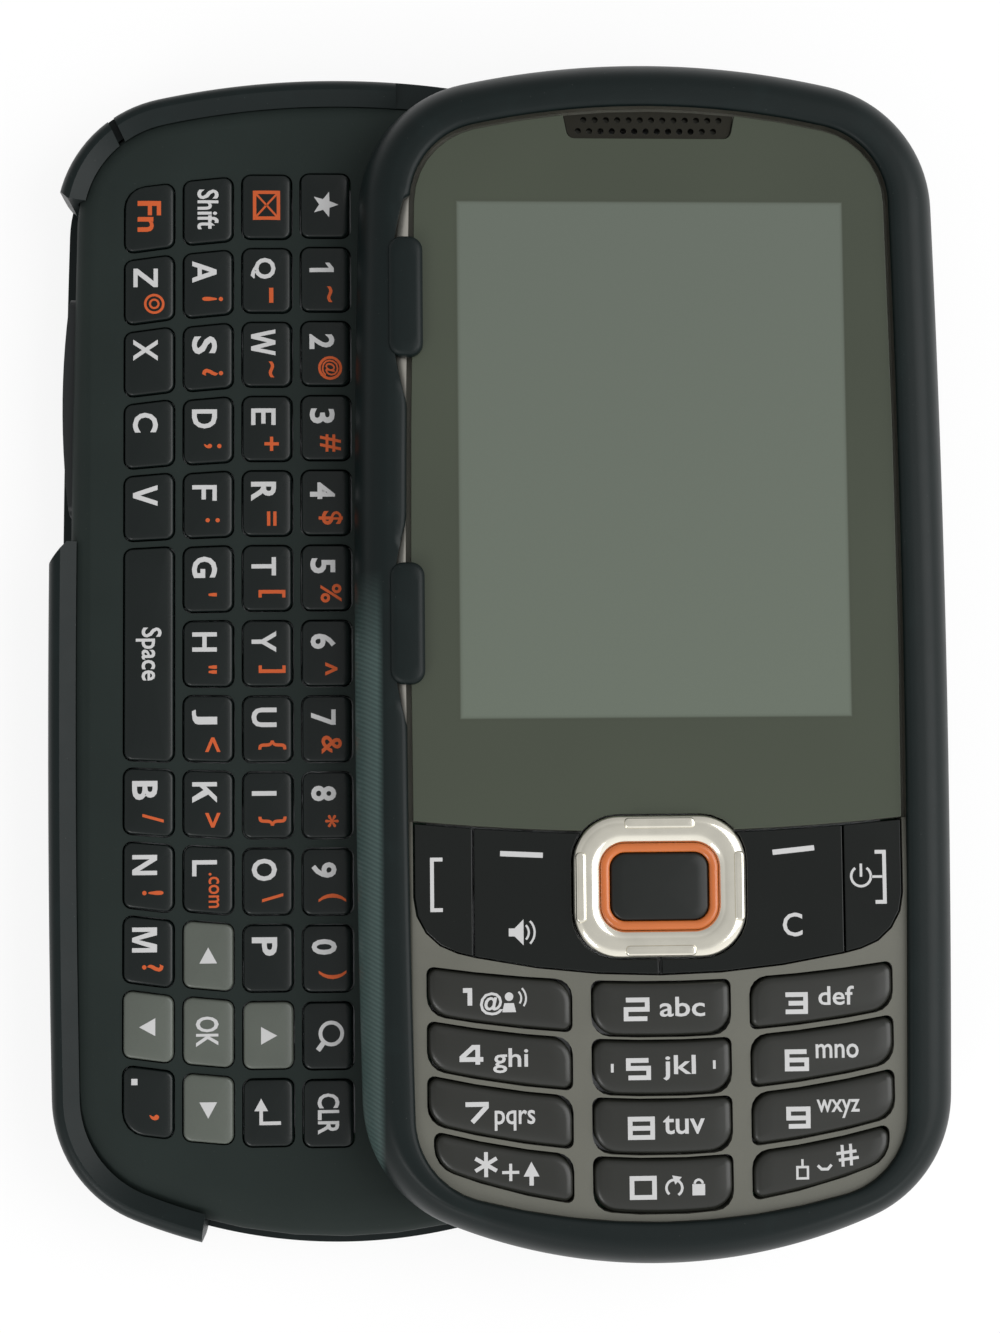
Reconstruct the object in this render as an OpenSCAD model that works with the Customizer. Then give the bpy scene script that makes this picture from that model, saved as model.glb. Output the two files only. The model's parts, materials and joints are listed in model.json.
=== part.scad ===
// Side-slider messaging phone in a two-piece clip-on case, keyboard out.
// +Z points out of the screen, +Y towards the earpiece, +X the way the slider opens.
// The origin is the middle of the flat back of the rear case. Lengths are in millimetres.

/* [Phone] */
// Length of the bare phone, earpiece end to microphone end
phone_length = 112.4; // [110:0.2:116]
// Width of the bare phone
phone_width = 53.8; // [53:0.2:56]
// How far the slider has moved sideways in this pose
slide_travel = 30; // [28:0.5:31]
// Radius of the earpiece end, seen from the front
top_end_radius = 81; // [70:1:100]
// Radius of the microphone end, seen from the front
bottom_end_radius = 51; // [46:1:70]
// Radius of the four corners, seen from the front
corner_radius = 11; // [9:0.5:13]
// Radius of the two slightly bowed sides
side_radius = 1700; // [1200:50:2500]
// Thickness of the base, rear face to keyboard deck
base_thickness = 8; // [7.8:0.1:9]
// Thickness of the slider, underside to lens
slider_thickness = 6.2; // [6.2:0.1:7]
// Space between the keyboard deck and the slider
slide_gap = 0.8; // [0.7:0.05:1.2]
// Wall thickness of the phone's own housings
housing_wall = 1.2; // [1:0.05:1.4]

/* [Clip-on case] */
// Distance from the phone's side to the outside of the case
case_offset = 1.9; // [1.6:0.1:2.4]
// Thickness of the rear case's floor
case_floor = 1.2; // [1:0.1:1.6]
// Space between the case and the phone
case_gap = 0.1; // [0.05:0.01:0.15]
// Height of the front case's lip above the lens
lip_height = 0.75; // [0.5:0.05:1.1]
// How far the front case's lip reaches in over the phone's edge
lip_reach = 3.1; // [3:0.05:3.4]
// Length of the scallop around each clip tab
scallop_length = 19.5; // [16:0.5:22]
// Depth of the scallop around each clip tab
scallop_depth = 1.4; // [1:0.1:1.8]
// Width of a clip tab
tab_width = 3.3; // [2.5:0.1:4]
// Length of a clip tab
tab_length = 11.6; // [9:0.1:13]
// Height of a clip tab above the lens
tab_height = 1.25; // [0.9:0.05:1.6]
// Distance of the upper clip tab from the earpiece end
upper_tab_distance = 22; // [20:0.1:24]
// Distance of the lower clip tab from the earpiece end
lower_tab_distance = 53.4; // [50:0.1:56]

/* [Display] */
// Width of the clear window over the display
view_width = 37.6; // [34:0.1:38.4]
// Distance from the earpiece end to the clear window
view_head = 12.45; // [11.5:0.05:14]
// Distance from the clear window to the display window's curved foot
view_foot = 10.75; // [10:0.05:13]
// Thickness of the display window
lens_thickness = 1.05; // [0.8:0.05:1.2]
// Width of the frame round the window's edge
lens_margin = 3.5; // [3.4:0.05:4]
// Distance from the microphone end to the display window's curved foot
lens_foot_distance = 39.1; // [38.6:0.1:39.7]
// Radius of the display window's curved foot
lens_foot_radius = 230; // [150:5:400]
// Width of the earpiece slot
earpiece_width = 18.2; // [14:0.2:20]
// Height of the earpiece slot
earpiece_height = 2.7; // [2:0.1:3]
// Distance from the earpiece end to the middle of the earpiece slot
earpiece_distance = 4.9; // [4.7:0.1:5.4]

/* [Number pad] */
// Height of the number keys above the keypad face
key_rise = 0.45; // [0.3:0.05:0.7]
// How far a key can be pressed
key_travel = 0.3; // [0.2:0.05:0.35]
// Clearance round each key
key_clearance = 0.15; // [0.1:0.01:0.2]
// Distance between rows of number keys
number_row_pitch = 5.5; // [5.4:0.02:5.54]
// Distance from the microphone end to the upper edge of the first row
number_top_distance = 24.85; // [24.7:0.05:25]
// Height of the keys in the middle column
middle_key_height = 5; // [4.6:0.05:5.1]
// Height of the keys in the outer columns
outer_key_height = 4.75; // [4.4:0.05:5]
// Half the width of the middle column
middle_key_half_width = 6.5; // [6:0.05:7]
// Gap between the middle column and the outer ones
number_column_gap = 2.05; // [1.4:0.05:2.5]
// Distance from the side of the phone to the outer columns
number_side_margin = 4.9; // [4.6:0.1:5.6]
// Bend of the first row's upper edge, one over its radius
row_bend = 0.0068; // [0.004:0.0002:0.008]
// How much more each following row edge bends
row_bend_step = 0.0018; // [0.001:0.0001:0.0024]

/* [Function keys] */
// Distance from the microphone end to the function key area
function_foot_distance = 25.5; // [25.4:0.1:25.8]
// Radius of the function key area's lower edge
function_foot_radius = 84; // [70:1:110]
// Radius of the function key area's lower corners
function_corner = 5.5; // [4:0.1:6.5]
// Distance from the middle of the phone to the outer function keys
function_divide = 17.65; // [16.5:0.05:19]
// Width of the navigation key
nav_width = 16.4; // [15:0.1:17.5]
// Height of the navigation key
nav_height = 13.4; // [12.6:0.1:13.6]
// Distance from the microphone end to the middle of the navigation key
nav_distance = 33.9; // [33.7:0.1:34.1]
// Width of the chrome round the navigation key's opening
nav_band = 2.25; // [2:0.05:2.5]
// Width of the coloured ring round the select key
accent_band = 0.8; // [0.6:0.05:1]

/* [Letter keyboard] */
// Width of a letter key, across the phone
letter_key_width = 4.8; // [4.4:0.05:4.9]
// Space between the letter keys of the first column, along the phone
letter_gap = 0.86; // [0.7:0.02:1.2]
// Distance between the four columns of letter keys
letter_column_pitch = 5.77; // [5.7:0.01:5.9]
// Distance from the side of the phone to the middle of the first column
letter_side_margin = 8; // [7.8:0.05:8.3]
// Distance from an end of the phone to the middle of the last key
letter_end_margin = 11.62; // [11.4:0.02:12]
// How much closer together the keys of the first column are
letter_fan = 0.22; // [0:0.02:0.3]
// Place of the keyboard's middle along the phone
letter_middle_y = 0.55; // [0:0.05:1]
// Height of the letter keys above the deck
letter_key_rise = 0.4; // [0.25:0.05:0.45]

/* [Slide] */
// Thickness of the two slide plates
plate_thickness = 0.7; // [0.6:0.05:0.8]
// Radius of a guide stud's neck
stud_neck = 1; // [0.8:0.05:1.2]
// Radius of a guide stud's head
stud_head = 1.9; // [1.6:0.05:2]
// Clearance between a stud's neck and its slot
stud_clearance = 0.08; // [0.03:0.01:0.1]
// Distance of the guide studs from the ends of the phone
stud_distance = 20.2; // [19.7:0.1:22]
// Distance of the first pair of guide studs from the base's middle
stud_first_x = 7.2; // [6.6:0.1:7.6]
// Distance of the second pair of guide studs from the base's middle
stud_last_x = 22; // [20:0.1:22.4]
// Radius of the spring's wire
spring_wire = 0.25; // [0.15:0.01:0.3]
// Width of the flat cable between base and slider
flex_width = 14; // [8:0.5:18]

/* [Inside] */
// Width of the battery
battery_width = 36; // [30:0.5:38]
// Length of the phone that the battery leaves for other parts
battery_spare = 58.4; // [56:0.2:66]
// Radius of the headset jack's bore
jack_radius = 1.3; // [1.25:0.05:1.4]
// Depth of the headset jack's bore
jack_depth = 8; // [7:0.1:9]
// Distance of the headset jack from the earpiece end
jack_distance = 14.4; // [13.8:0.1:15.2]
// Length of the volume key
volume_length = 22; // [18:0.5:23]
// Distance from the earpiece end to the middle of the volume key
volume_distance = 30.8; // [30.2:0.1:31.2]
// How far the side keys stand out of the housing
side_key_rise = 0.85; // [0.5:0.05:1]
// Radius of a housing screw's shank
screw_radius = 0.7; // [0.6:0.05:0.8]
// Radius of a housing screw's head
screw_head = 1.4; // [1.2:0.05:1.5]

/* [Hidden] */
$fn = 64;

// Heights of the base, from the back of the case to the keyboard deck
body_bottom = case_floor + case_gap;
deck_top = body_bottom + base_thickness;
deck_thickness = 1.2;
parting_height = body_bottom + 4.3;
board_thickness = 0.8;
board_bottom = deck_top - 3;
board_top = board_bottom + board_thickness;
case_top = deck_top + 0.55;

// Heights of the slider, from its underside to the lens
slider_bottom = deck_top + slide_gap;
slider_top = slider_bottom + slider_thickness;
face_top = slider_top - 0.1;
tray_top = slider_top - lens_thickness - 0.05;
tray_thickness = 0.95;
tray_bottom = tray_top - tray_thickness;
slider_floor = slider_bottom + plate_thickness + 0.8;
pad_board_bottom = tray_bottom - 2.2;
pad_board_top = pad_board_bottom + board_thickness;
trim_bottom = slider_top - 3.5;
lip_top = slider_top + lip_height;
key_top = face_top + key_rise;
nav_top = face_top + 0.8;

// Dome sheets and the plungers that press on them
film_thickness = 0.1;
dome_height = 0.25;
dome_gap = key_travel + 0.05;
pad_plunger_bottom = pad_board_top + film_thickness + dome_height + dome_gap;
letter_plunger_bottom = board_top + film_thickness + dome_height + dome_gap;
pad_cap_bottom = tray_bottom + 0.2;
letter_cap_bottom = deck_top - deck_thickness - 0.1;

half_length = phone_length / 2;
half_width = phone_width / 2;

// Places along the phone, each from the end that it belongs to
tab_spots = [half_length - upper_tab_distance, half_length - lower_tab_distance];
lens_foot_y = lens_foot_distance - half_length;
view_top = half_length - view_head;
view_height = view_top - lens_foot_y - view_foot;
view_y = view_top - view_height / 2;
earpiece_y = half_length - earpiece_distance;
number_top_y = number_top_distance - half_length;
function_foot_y = function_foot_distance - half_length;
nav_y = nav_distance - half_length;
stud_y = half_length - stud_distance;
jack_y = half_length - jack_distance;
volume_y = half_length - volume_distance;
battery_length = phone_length - battery_spare;
letter_steps = 12;
letter_pitch_last = (phone_length - 2 * letter_end_margin) / letter_steps;
letter_pitch_first = letter_pitch_last - letter_fan;
letter_key_length = letter_pitch_first - letter_gap;
seam = 0.05;
far = 100;

// ---------- outlines ----------

function flip(points) = [for (k = [len(points) - 1 : -1 : 0]) points[k]];

function tail(points) = [for (k = [1 : len(points) - 1]) points[k]];

function arc(centre, radius, from, to, steps) =
    [for (k = [0 : steps])
        let (a = from + (to - from) * k / steps)
        centre + radius * [cos(a), sin(a)]];

// Middle of the corner arc that runs tangent into a bowed side and a round end
function corner_centre(reach, end_radius) =
    let (side = [half_width - side_radius, 0],
         end = [0, reach - end_radius],
         to_side = side_radius - corner_radius,
         to_end = end_radius - corner_radius,
         apart = norm(end - side),
         ahead = (end - side) / apart,
         along = (to_side * to_side - to_end * to_end + apart * apart) / (2 * apart),
         across = sqrt(to_side * to_side - along * along))
    side + along * ahead + across * [-ahead[1], ahead[0]];

// One quarter of the phone's outline, from the side's middle to the end's middle
function quarter(grow, reach, end_radius) =
    let (corner = corner_centre(reach, end_radius),
         side = [half_width - side_radius, 0],
         end = [0, reach - end_radius],
         side_angle = atan2(corner[1] - side[1], corner[0] - side[0]),
         end_angle = atan2(corner[1] - end[1], corner[0] - end[0]))
    concat(arc(side, side_radius + grow, 0, side_angle, 2),
           tail(arc(corner, corner_radius + grow, side_angle, end_angle, 7)),
           tail(arc(end, end_radius + grow, end_angle, 90, 4)));

// The phone's outline grown by a distance. A chin draws the microphone end in.
function outline(grow = 0, chin = 0, foot_radius = bottom_end_radius) =
    let (lower = [for (p = quarter(grow, half_length - chin, foot_radius)) [p[0], -p[1]]],
         right = concat(flip(lower), tail(quarter(grow, half_length, top_end_radius))),
         left = [for (p = flip(right)) [-p[0], p[1]]])
    concat(right, [for (k = [1 : len(left) - 2]) left[k]]);

function rounded_rect(width, length, radius, steps = 4) =
    let (x = width / 2 - radius, y = length / 2 - radius)
    concat(arc([x, y], radius, 0, 90, steps), arc([-x, y], radius, 90, 180, steps),
           arc([-x, -y], radius, 180, 270, steps), arc([x, -y], radius, 270, 360, steps));

// Replaces each corner [x, y, radius] of a loop by a tangent arc
function rounded(corners, steps = 4) =
    [for (k = [0 : len(corners) - 1])
        let (n = len(corners),
             here = [corners[k][0], corners[k][1]],
             before = [corners[(k + n - 1) % n][0], corners[(k + n - 1) % n][1]],
             after = [corners[(k + 1) % n][0], corners[(k + 1) % n][1]],
             radius = corners[k][2])
        each radius == 0 ? [here] : corner_arc(here, before, after, radius, steps)];

function corner_arc(here, before, after, radius, steps) =
    let (back = (before - here) / norm(before - here),
         ahead = (after - here) / norm(after - here),
         half = acos(back * ahead) / 2,
         middle = (back + ahead) / norm(back + ahead),
         centre = here + middle * radius / sin(half),
         start = here + back * radius / tan(half) - centre,
         stop = here + ahead * radius / tan(half) - centre,
         from = atan2(start[1], start[0]),
         turn = atan2(start[0] * stop[1] - start[1] * stop[0], start * stop))
    arc(centre, radius, from, from + turn, steps);

// ---------- section curves, as [grow, height] ----------

// Rounds a lower edge: starts flat, ends upright
function round_up(grow, bottom, in, up, steps) =
    [for (k = [0 : steps]) let (a = 90 * k / steps)
        [grow - in * (1 - sin(a)), bottom + up * (1 - cos(a))]];

// Rounds an upper edge: starts upright, ends flat, or earlier
function round_in(grow, top, in, down, steps, upto = 90) =
    [for (k = [0 : steps]) let (a = upto * k / steps)
        [grow - in * (1 - cos(a)), top - down * (1 - sin(a))]];

function rings(section) = [for (s = section) [outline(s[0]), s[1]]];

// Towards the lip's inner edge the microphone end becomes flatter and moves out
lip_foot_draw = 0.5;
lip_foot_flatter = 19;
function lip_outline(grow) =
    let (share = max(-grow, 0) / lip_reach)
    outline(grow, -lip_foot_draw * share, bottom_end_radius + lip_foot_flatter * share);
function lip_rings(section) = [for (s = section) [lip_outline(s[0]), s[1]]];

// ---------- solids ----------

module slab(points, from, to) {
    translate([0, 0, from]) linear_extrude(to - from) polygon(points);
}

function wall_faces(n, lower, upper) =
    [for (i = [0 : n - 1]) let (j = (i + 1) % n) each [
        [lower * n + i, upper * n + i, upper * n + j],
        [lower * n + i, upper * n + j, lower * n + j]]];

function ring_points(levels) = [for (level = levels) for (p = level[0]) [p[0], p[1], level[1]]];

// Skins a stack of [outline, height] levels and closes its two ends
module skin(levels) {
    n = len(levels[0][0]);
    last = len(levels) - 1;
    polyhedron(ring_points(levels), concat(
        [[for (i = [0 : n - 1]) i]],
        [for (k = [0 : last - 1]) each wall_faces(n, k, k + 1)],
        [[for (i = [n - 1 : -1 : 0]) last * n + i]]), convexity = 6);
}

// Skins a section that runs all the way round and meets itself, as a frame does
module frame(levels) {
    n = len(levels[0][0]);
    polyhedron(ring_points(levels),
        [for (k = [0 : len(levels) - 1]) each wall_faces(n, k, (k + 1) % len(levels))],
        convexity = 8);
}

module at_slider() { translate([slide_travel, 0, 0]) children(); }

module post(spot, radius, from, to) {
    translate([spot[0], spot[1], from]) cylinder(h = to - from, r = radius);
}

module block(from, to) { translate(from) cube(to - from); }

// ---------- places that several pieces share ----------

base_screw_spots = [
    for (x = [-1, 1]) for (y = [-1, 1]) [x * (half_width - 7.7), y * (half_length - 7.3)]];
slider_screw_spots = [
    for (x = [-1, 1]) for (y = [half_length - 10, 12.6 - half_length]) [x * (half_width - 4), y]];
boss_radius = screw_radius + 0.75;
boss_notch = boss_radius + 0.25;

// Rear housing and keyboard housing
rear_edge = 3.6;
deck_edge_in = 2.3;
deck_edge_down = 2.4;
chin_step = 2;

battery_middle = [0, -7];
battery_bottom = body_bottom + 0.9;
battery_top = board_bottom - 0.3;
bay_clearance = 0.4;
cover_lap = 3;
cover_thickness = 0.8;
housing_floor = body_bottom + 1.05;

camera_spot = [14, half_length - 13];
camera_window_radius = 4;
speaker_spot = [-3, half_length - 13];
speaker_size = [15, 9];
motor_spot = [-17, battery_middle[1] - battery_length / 2 - 6];
usb_x = -4;
usb_size = [7.6, 5.4, 2.8];
usb_bottom = housing_floor + 0.1;
microphone_x = -10;
jack_height = (housing_floor + parting_height) / 2;
jack_from = housing_wall + 0.1 - half_width;
side_key_height = 2.6;
side_key_z = body_bottom + 4.4;
side_key_flange = 0.5;
volume_bow = 85;
camera_key_bow = 30;
camera_key_distance = 34.2;
camera_key_y = camera_key_distance - half_length;
camera_key_length = 8;
case_window_length = 34;
case_window_distance = 10.5;
case_window = [half_length - case_window_distance - case_window_length, half_length - case_window_distance];
bare_end = [-13, 20];

// Earpiece
earpiece_speaker_spot = [0, earpiece_y - 0.9];
sound_hole = [10, 1.6];

// Slide
guide_deck_x = 3.2;
base_plate_top = deck_top - 0.6;
base_plate_bottom = base_plate_top - plate_thickness;
base_plate_x = [guide_deck_x + 0.5, half_width - 2.2];
base_plate_y = stud_y + 4;
pocket_gap = 0.1;
stake_spots = [
    for (x = [base_plate_x[0] + 1.6, base_plate_x[1] - 1.6]) for (y = [10 - stud_y, stud_y - 5]) [x, y]];
stake_radius = 0.8;
stud_spots = [for (x = [stud_first_x, stud_last_x]) for (y = [-stud_y, stud_y]) [x, y]];
slot_half_width = stud_neck + stud_clearance;
slot_from = stud_first_x - slide_travel;
slot_to = stud_last_x;
plate_half_width = half_width - 1.9;
plate_half_length = stud_y + 3;
spring_pin_spot = [14.6, 13];
spring_post_spot = [spring_pin_spot[0] - slide_travel / 2, 27];
spring_pin = 0.55;
spring_window = [37, 23];
flex_base_x = 6;
flex_slider_x = -19.7;
flex_thickness = 0.16;
flex_slot = 0.8;

// Rows and columns of letter keys: [column, row], rows counted from the earpiece end
function letter_pitch(column) =
    letter_pitch_last - (letter_pitch_last - letter_pitch_first) * pow((3 - column) / 3, 2);
function letter_spot(column, row) =
    [letter_side_margin - half_width + column * letter_column_pitch,
     letter_middle_y + (letter_steps / 2 - row) * letter_pitch(column)];
number_row_places = [for (row = [0 : 12]) [3, row]];
top_letter_places = [for (row = [0 : 12]) if (row != 11) [2, row]];
home_letter_places = [for (row = [0 : 9]) [1, row]];
bottom_letter_places = [for (row = [0, 1, 2, 3, 4, 8, 9, 10, 12]) [0, row]];
space_place = [0, 6];
cursor_places = [[2, 11], [1, 10], [1, 11], [1, 12], [0, 11]];
letter_corner = 0.8;
letter_crown = 14;

// Slope of the keys' end edges in each column: none in the middle, full at either end
letter_lean = [0.14, 0.1, 0, 0];
function lean(column, edge) = letter_lean[column] * min(max((letter_steps / 2 - edge) / 4, -1), 1);

// The keys in the keyboard's two outer corners have one large corner each
first_key_corner = 2.2;
last_key_corner = 2.3;
function letter_outline(place, grow = 0, rows = 1) =
    let (x = letter_key_width / 2 + grow,
         y = (letter_key_length + (rows - 1) * letter_pitch(place[0])) / 2 + grow,
         low = lean(place[0], place[1] + rows / 2),
         high = lean(place[0], place[1] - rows / 2),
         corner = letter_corner + grow)
    rounded([[x, low * x - y, corner], [x, y + high * x, corner],
             [-x, y - high * x, place == [0, 0] ? first_key_corner + grow : corner],
             [-x, -y - low * x, place == [0, 12] ? last_key_corner + grow : corner]]);

// ---------- base: case and housings ----------

function rear_section(grow, bottom) = round_up(grow, bottom, rear_edge, 3, 4);

module back_case() {
    color("darkslategray") difference() {
        skin(concat(
            rings(round_up(case_offset, 0, rear_edge + 0.4, 4, 4)),
            rings(round_in(case_offset, case_top, 1.3, 1.6, 3)),
            rings(flip(round_in(case_gap, deck_top + case_gap, deck_edge_in, deck_edge_down, 3, 54))),
            rings(flip(rear_section(case_gap, case_floor)))));
        case_side_window();
        case_end_window();
        case_lip_relief();
        case_key_window();
        post(camera_spot, camera_window_radius + 1.6, -1, body_bottom + 0.1);
        speaker_slots(-1, body_bottom + 0.1);
    }
}

// The case's left wall is cut away beside the volume key and the headset jack
module case_side_window() {
    x = half_width;
    slab([[-x - 5, case_window[0] - 6], [-x, case_window[0]], [3 - x, case_window[0]],
          [3 - x, case_window[1]], [-x, case_window[1]], [-x - 5, case_window[1] + 5]],
         body_bottom + 0.9, far);
}

// The microphone end stays bare between the case's two lower corners
module case_end_window() {
    y = -half_length;
    slab([[bare_end[0], y + 6], [bare_end[0] - 1.5, y - 5], [bare_end[1] + 1.5, y - 5],
          [bare_end[1], y + 6]], body_bottom + 0.9, far);
}

// Where the slider passes, the case's wall stops below it and has no lip
module case_lip_relief() {
    lip_end = [5.5, half_length];
    block([lip_end[0], -far, deck_top - 0.4], [far, far, far]);
    translate([4.5 - half_width, half_length - 3.2, deck_top]) rotate([0, 0, 26])
        cube([0.7, 4, 2], center = true);
}

module case_key_window() {
    y = camera_key_length / 2 + 2;
    block([half_width - 1, camera_key_y - y, side_key_z - side_key_height / 2 - 1.2],
          [far, camera_key_y + y, far]);
}

module speaker_slots(from, to) {
    for (k = [-2 : 2])
        slab([for (p = rounded_rect(1.2, speaker_size[1] - 2, 0.55)) p + speaker_spot + [2.2 * k, 0]],
             from, to);
}

module rear_housing() {
    bay = rounded_rect(battery_width + 2 * bay_clearance, battery_length + 2 * bay_clearance, 1.5);
    cover = rounded_rect(battery_width + 2 * cover_lap + 0.2, battery_length + 2 * cover_lap + 0.2, 3);
    bay_wall = rounded_rect(battery_width + 2 * bay_clearance + 2, battery_length + 2 * bay_clearance + 2, 2);
    color("dimgray") difference() {
        union() {
            skin(concat(
                rings(rear_section(0, body_bottom)),
                rings([[0, parting_height], [-housing_wall, parting_height]]),
                rings(flip(round_up(-housing_wall, housing_floor, 2.6, 2, 3)))));
            translate(battery_middle) slab(bay_wall, housing_floor - seam, board_bottom - seam);
            for (spot = base_screw_spots) post(spot, boss_radius, housing_floor - seam, parting_height);
        }
        translate(battery_middle) {
            slab(bay, body_bottom - 1, far);
            slab(cover, body_bottom - 1, body_bottom + cover_thickness + seam);
        }
        for (spot = base_screw_spots) {
            post(spot, screw_radius + 0.05, body_bottom - 1, far);
            post(spot, screw_head + 0.1, body_bottom - 1, housing_floor);
        }
        contact_notch();
        post(camera_spot, camera_window_radius + 0.05, body_bottom - 1, far);
        speaker_slots(body_bottom - 1, far);
        side_key_openings();
        jack_opening();
        usb_opening();
        translate([microphone_x, 3 - half_length, board_bottom - 2]) rotate([90, 0, 0])
            cylinder(h = 6, r = 0.5);
    }
}

// The bay's wall opens for the contact fingers
module contact_notch() {
    y = battery_middle[1] + battery_length / 2;
    block([-5.2, y, housing_floor + 0.6], [5.2, y + 4.8, far]);
}

module jack_opening() {
    from = jack_from - 0.1;
    block([from, jack_y - 3.1, housing_floor], [jack_from + jack_depth + 2.1, jack_y + 3.1, far]);
    translate([from + 0.5, jack_y, jack_height]) rotate([0, -90, 0])
        cylinder(h = 5, r = jack_radius + 0.3);
}

module usb_opening() {
    block([usb_x - usb_size[0] / 2 - 0.1, -half_length - 1, usb_bottom - 0.1],
          [usb_x + usb_size[0] / 2 + 0.1, 6 - half_length, usb_bottom + usb_size[2] + 0.1]);
}

// A slot for each side key, with a wider pocket behind it for the key's flange
module side_key_openings() {
    side_key_opening(-1, volume_y, volume_length);
    side_key_opening(1, camera_key_y, camera_key_length);
}

module side_key_opening(side, y, length) {
    inside = half_width - housing_wall;
    half = [length, side_key_height] / 2 + [key_clearance, key_clearance];
    pocket = half + [side_key_flange, side_key_flange];
    mirror([side < 0 ? 1 : 0, 0, 0]) {
        block([inside - 0.1, y - half[0], side_key_z - half[1]], [far, y + half[0], side_key_z + half[1]]);
        block([inside - 2, y - pocket[0], side_key_z - pocket[1]],
              [inside - 0.1, y + pocket[0], side_key_z + pocket[1]]);
    }
}

module battery_cover() {
    color("dimgray") translate(battery_middle)
        slab(rounded_rect(battery_width + 2 * cover_lap, battery_length + 2 * cover_lap, 2.9),
             body_bottom, body_bottom + cover_thickness);
}

module battery() {
    color("lightgray") translate(battery_middle)
        slab(rounded_rect(battery_width, battery_length, 1.2), battery_bottom, battery_top);
}

module battery_contacts() {
    y = battery_middle[1] + battery_length / 2;
    color("gold") {
        block([-5, y + 1.6, board_bottom - 2.4], [5, y + 4.6, board_bottom - seam]);
        for (x = [-3, 0, 3])
            block([x - 0.5, y + seam, board_bottom - 2], [x + 0.5, y + 1.8, board_bottom - 0.9]);
    }
}

module keyboard_housing() {
    outer = concat(rings([[0, parting_height + seam]]),
        [for (k = [0 : 5]) let (a = 18 * k)
            [outline(-deck_edge_in * (1 - cos(a)), chin_step * (1 - cos(a))),
             deck_top - deck_edge_down * (1 - sin(a))]]);
    color("darkslategray") difference() {
        union() {
            difference() {
                skin(outer);
                slab(outline(-housing_wall), parting_height - 1, deck_top - deck_thickness);
            }
            intersection() {
                slab(outline(-housing_wall), base_plate_bottom - 0.7, deck_top - deck_thickness + seam);
                block([guide_deck_x - 0.4, -far, 0], [far, far, far]);
            }
            for (spot = base_screw_spots)
                post(spot, boss_radius, parting_height + seam, deck_top - deck_thickness + seam);
        }
        block([base_plate_x[0] - pocket_gap, -base_plate_y - pocket_gap, base_plate_bottom - seam],
              [base_plate_x[1] + pocket_gap, base_plate_y + pocket_gap, far]);
        for (spot = base_screw_spots) post(spot, screw_radius, 0, base_plate_bottom - 0.9);
        letter_key_openings();
        side_key_openings();
        flex_slot_at(flex_base_x, 0, far);
    }
    color("darkslategray") for (spot = stake_spots) {
        post(spot, stake_radius, base_plate_bottom - 2 * seam, base_plate_top + 0.3);
        post(spot, stake_radius + 0.5, base_plate_top + 0.03, base_plate_top + 0.3);
    }
}

module flex_slot_at(x, from, to) {
    block([x - flex_slot, -flex_width / 2 - 0.8, from], [x + flex_slot, flex_width / 2 + 0.8, to]);
}

// ---------- base: letter keys ----------

module letter_key_openings() {
    for (place = concat(number_row_places, top_letter_places, home_letter_places,
                        bottom_letter_places, cursor_places))
        translate(letter_spot(place[0], place[1])) slab(letter_outline(place, key_clearance), 0, far);
    translate(letter_spot(space_place[0], space_place[1]))
        slab(letter_outline(space_place, key_clearance, 3), 0, far);
}

// A key crowned across its width, with a plunger over its dome
module letter_key(place, rows = 1) {
    translate(letter_spot(place[0], place[1])) {
        intersection() {
            slab(letter_outline(place, 0, rows), letter_cap_bottom, far);
            translate([0, far, deck_top + letter_key_rise - letter_crown]) rotate([90, 0, 0])
                cylinder(h = 2 * far, r = letter_crown);
        }
        post([0, 0], 1.2, letter_plunger_bottom, letter_cap_bottom + seam);
    }
}

module letter_keys(places) {
    for (place = places) letter_key(place);
}

module number_row_keys() { color("black") letter_keys(number_row_places); }

module top_letter_keys() { color("black") letter_keys(top_letter_places); }

module home_letter_keys() { color("black") letter_keys(home_letter_places); }

module bottom_letter_keys() { color("black") letter_keys(bottom_letter_places); }

module cursor_keys() { color("gray") letter_keys(cursor_places); }

module space_key() { color("black") letter_key(space_place, 3); }

module keyboard_dome_sheet() {
    x = [letter_spot(0, 0)[0] - 2.6, letter_spot(3, 0)[0] + 2.6];
    reach = letter_steps / 2 * letter_pitch(3) + 2.2;
    color("silver") {
        intersection() {
            slab(outline(-housing_wall - 2.4), board_top, board_top + film_thickness);
            block([x[0], letter_middle_y - reach, 0], [x[1], letter_middle_y + reach, far]);
        }
        for (place = concat(number_row_places, top_letter_places, home_letter_places,
                            bottom_letter_places, cursor_places, [space_place]))
            translate(letter_spot(place[0], place[1])) dome(board_top);
    }
}

module dome(board) {
    translate([0, 0, board + film_thickness - seam])
        cylinder(h = dome_height + seam, r1 = 2, r2 = 1.3);
}

// ---------- base: inside ----------

module main_pcb() {
    color("seagreen") difference() {
        slab(outline(-housing_wall - 1.2), board_bottom, board_top);
        for (spot = base_screw_spots) post(spot, boss_notch, 0, far);
    }
}

module camera_module() {
    color("black") {
        translate(camera_spot) slab(rounded_rect(9, 9, 1), housing_floor + 0.05, board_bottom - seam);
        post(camera_spot, camera_window_radius - 0.6, body_bottom + 0.75, housing_floor + 0.1);
    }
}

module camera_window() {
    color("black") post(camera_spot, camera_window_radius, body_bottom + 0.05, body_bottom + 0.65);
}

module loudspeaker() {
    color("silver") translate(speaker_spot) difference() {
        slab(rounded_rect(speaker_size[0], speaker_size[1], 3), housing_floor + 0.05, housing_floor + 3.2);
        slab(rounded_rect(speaker_size[0] - 3, speaker_size[1] - 3, 1.5), 0, housing_floor + 0.6);
    }
}

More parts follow.
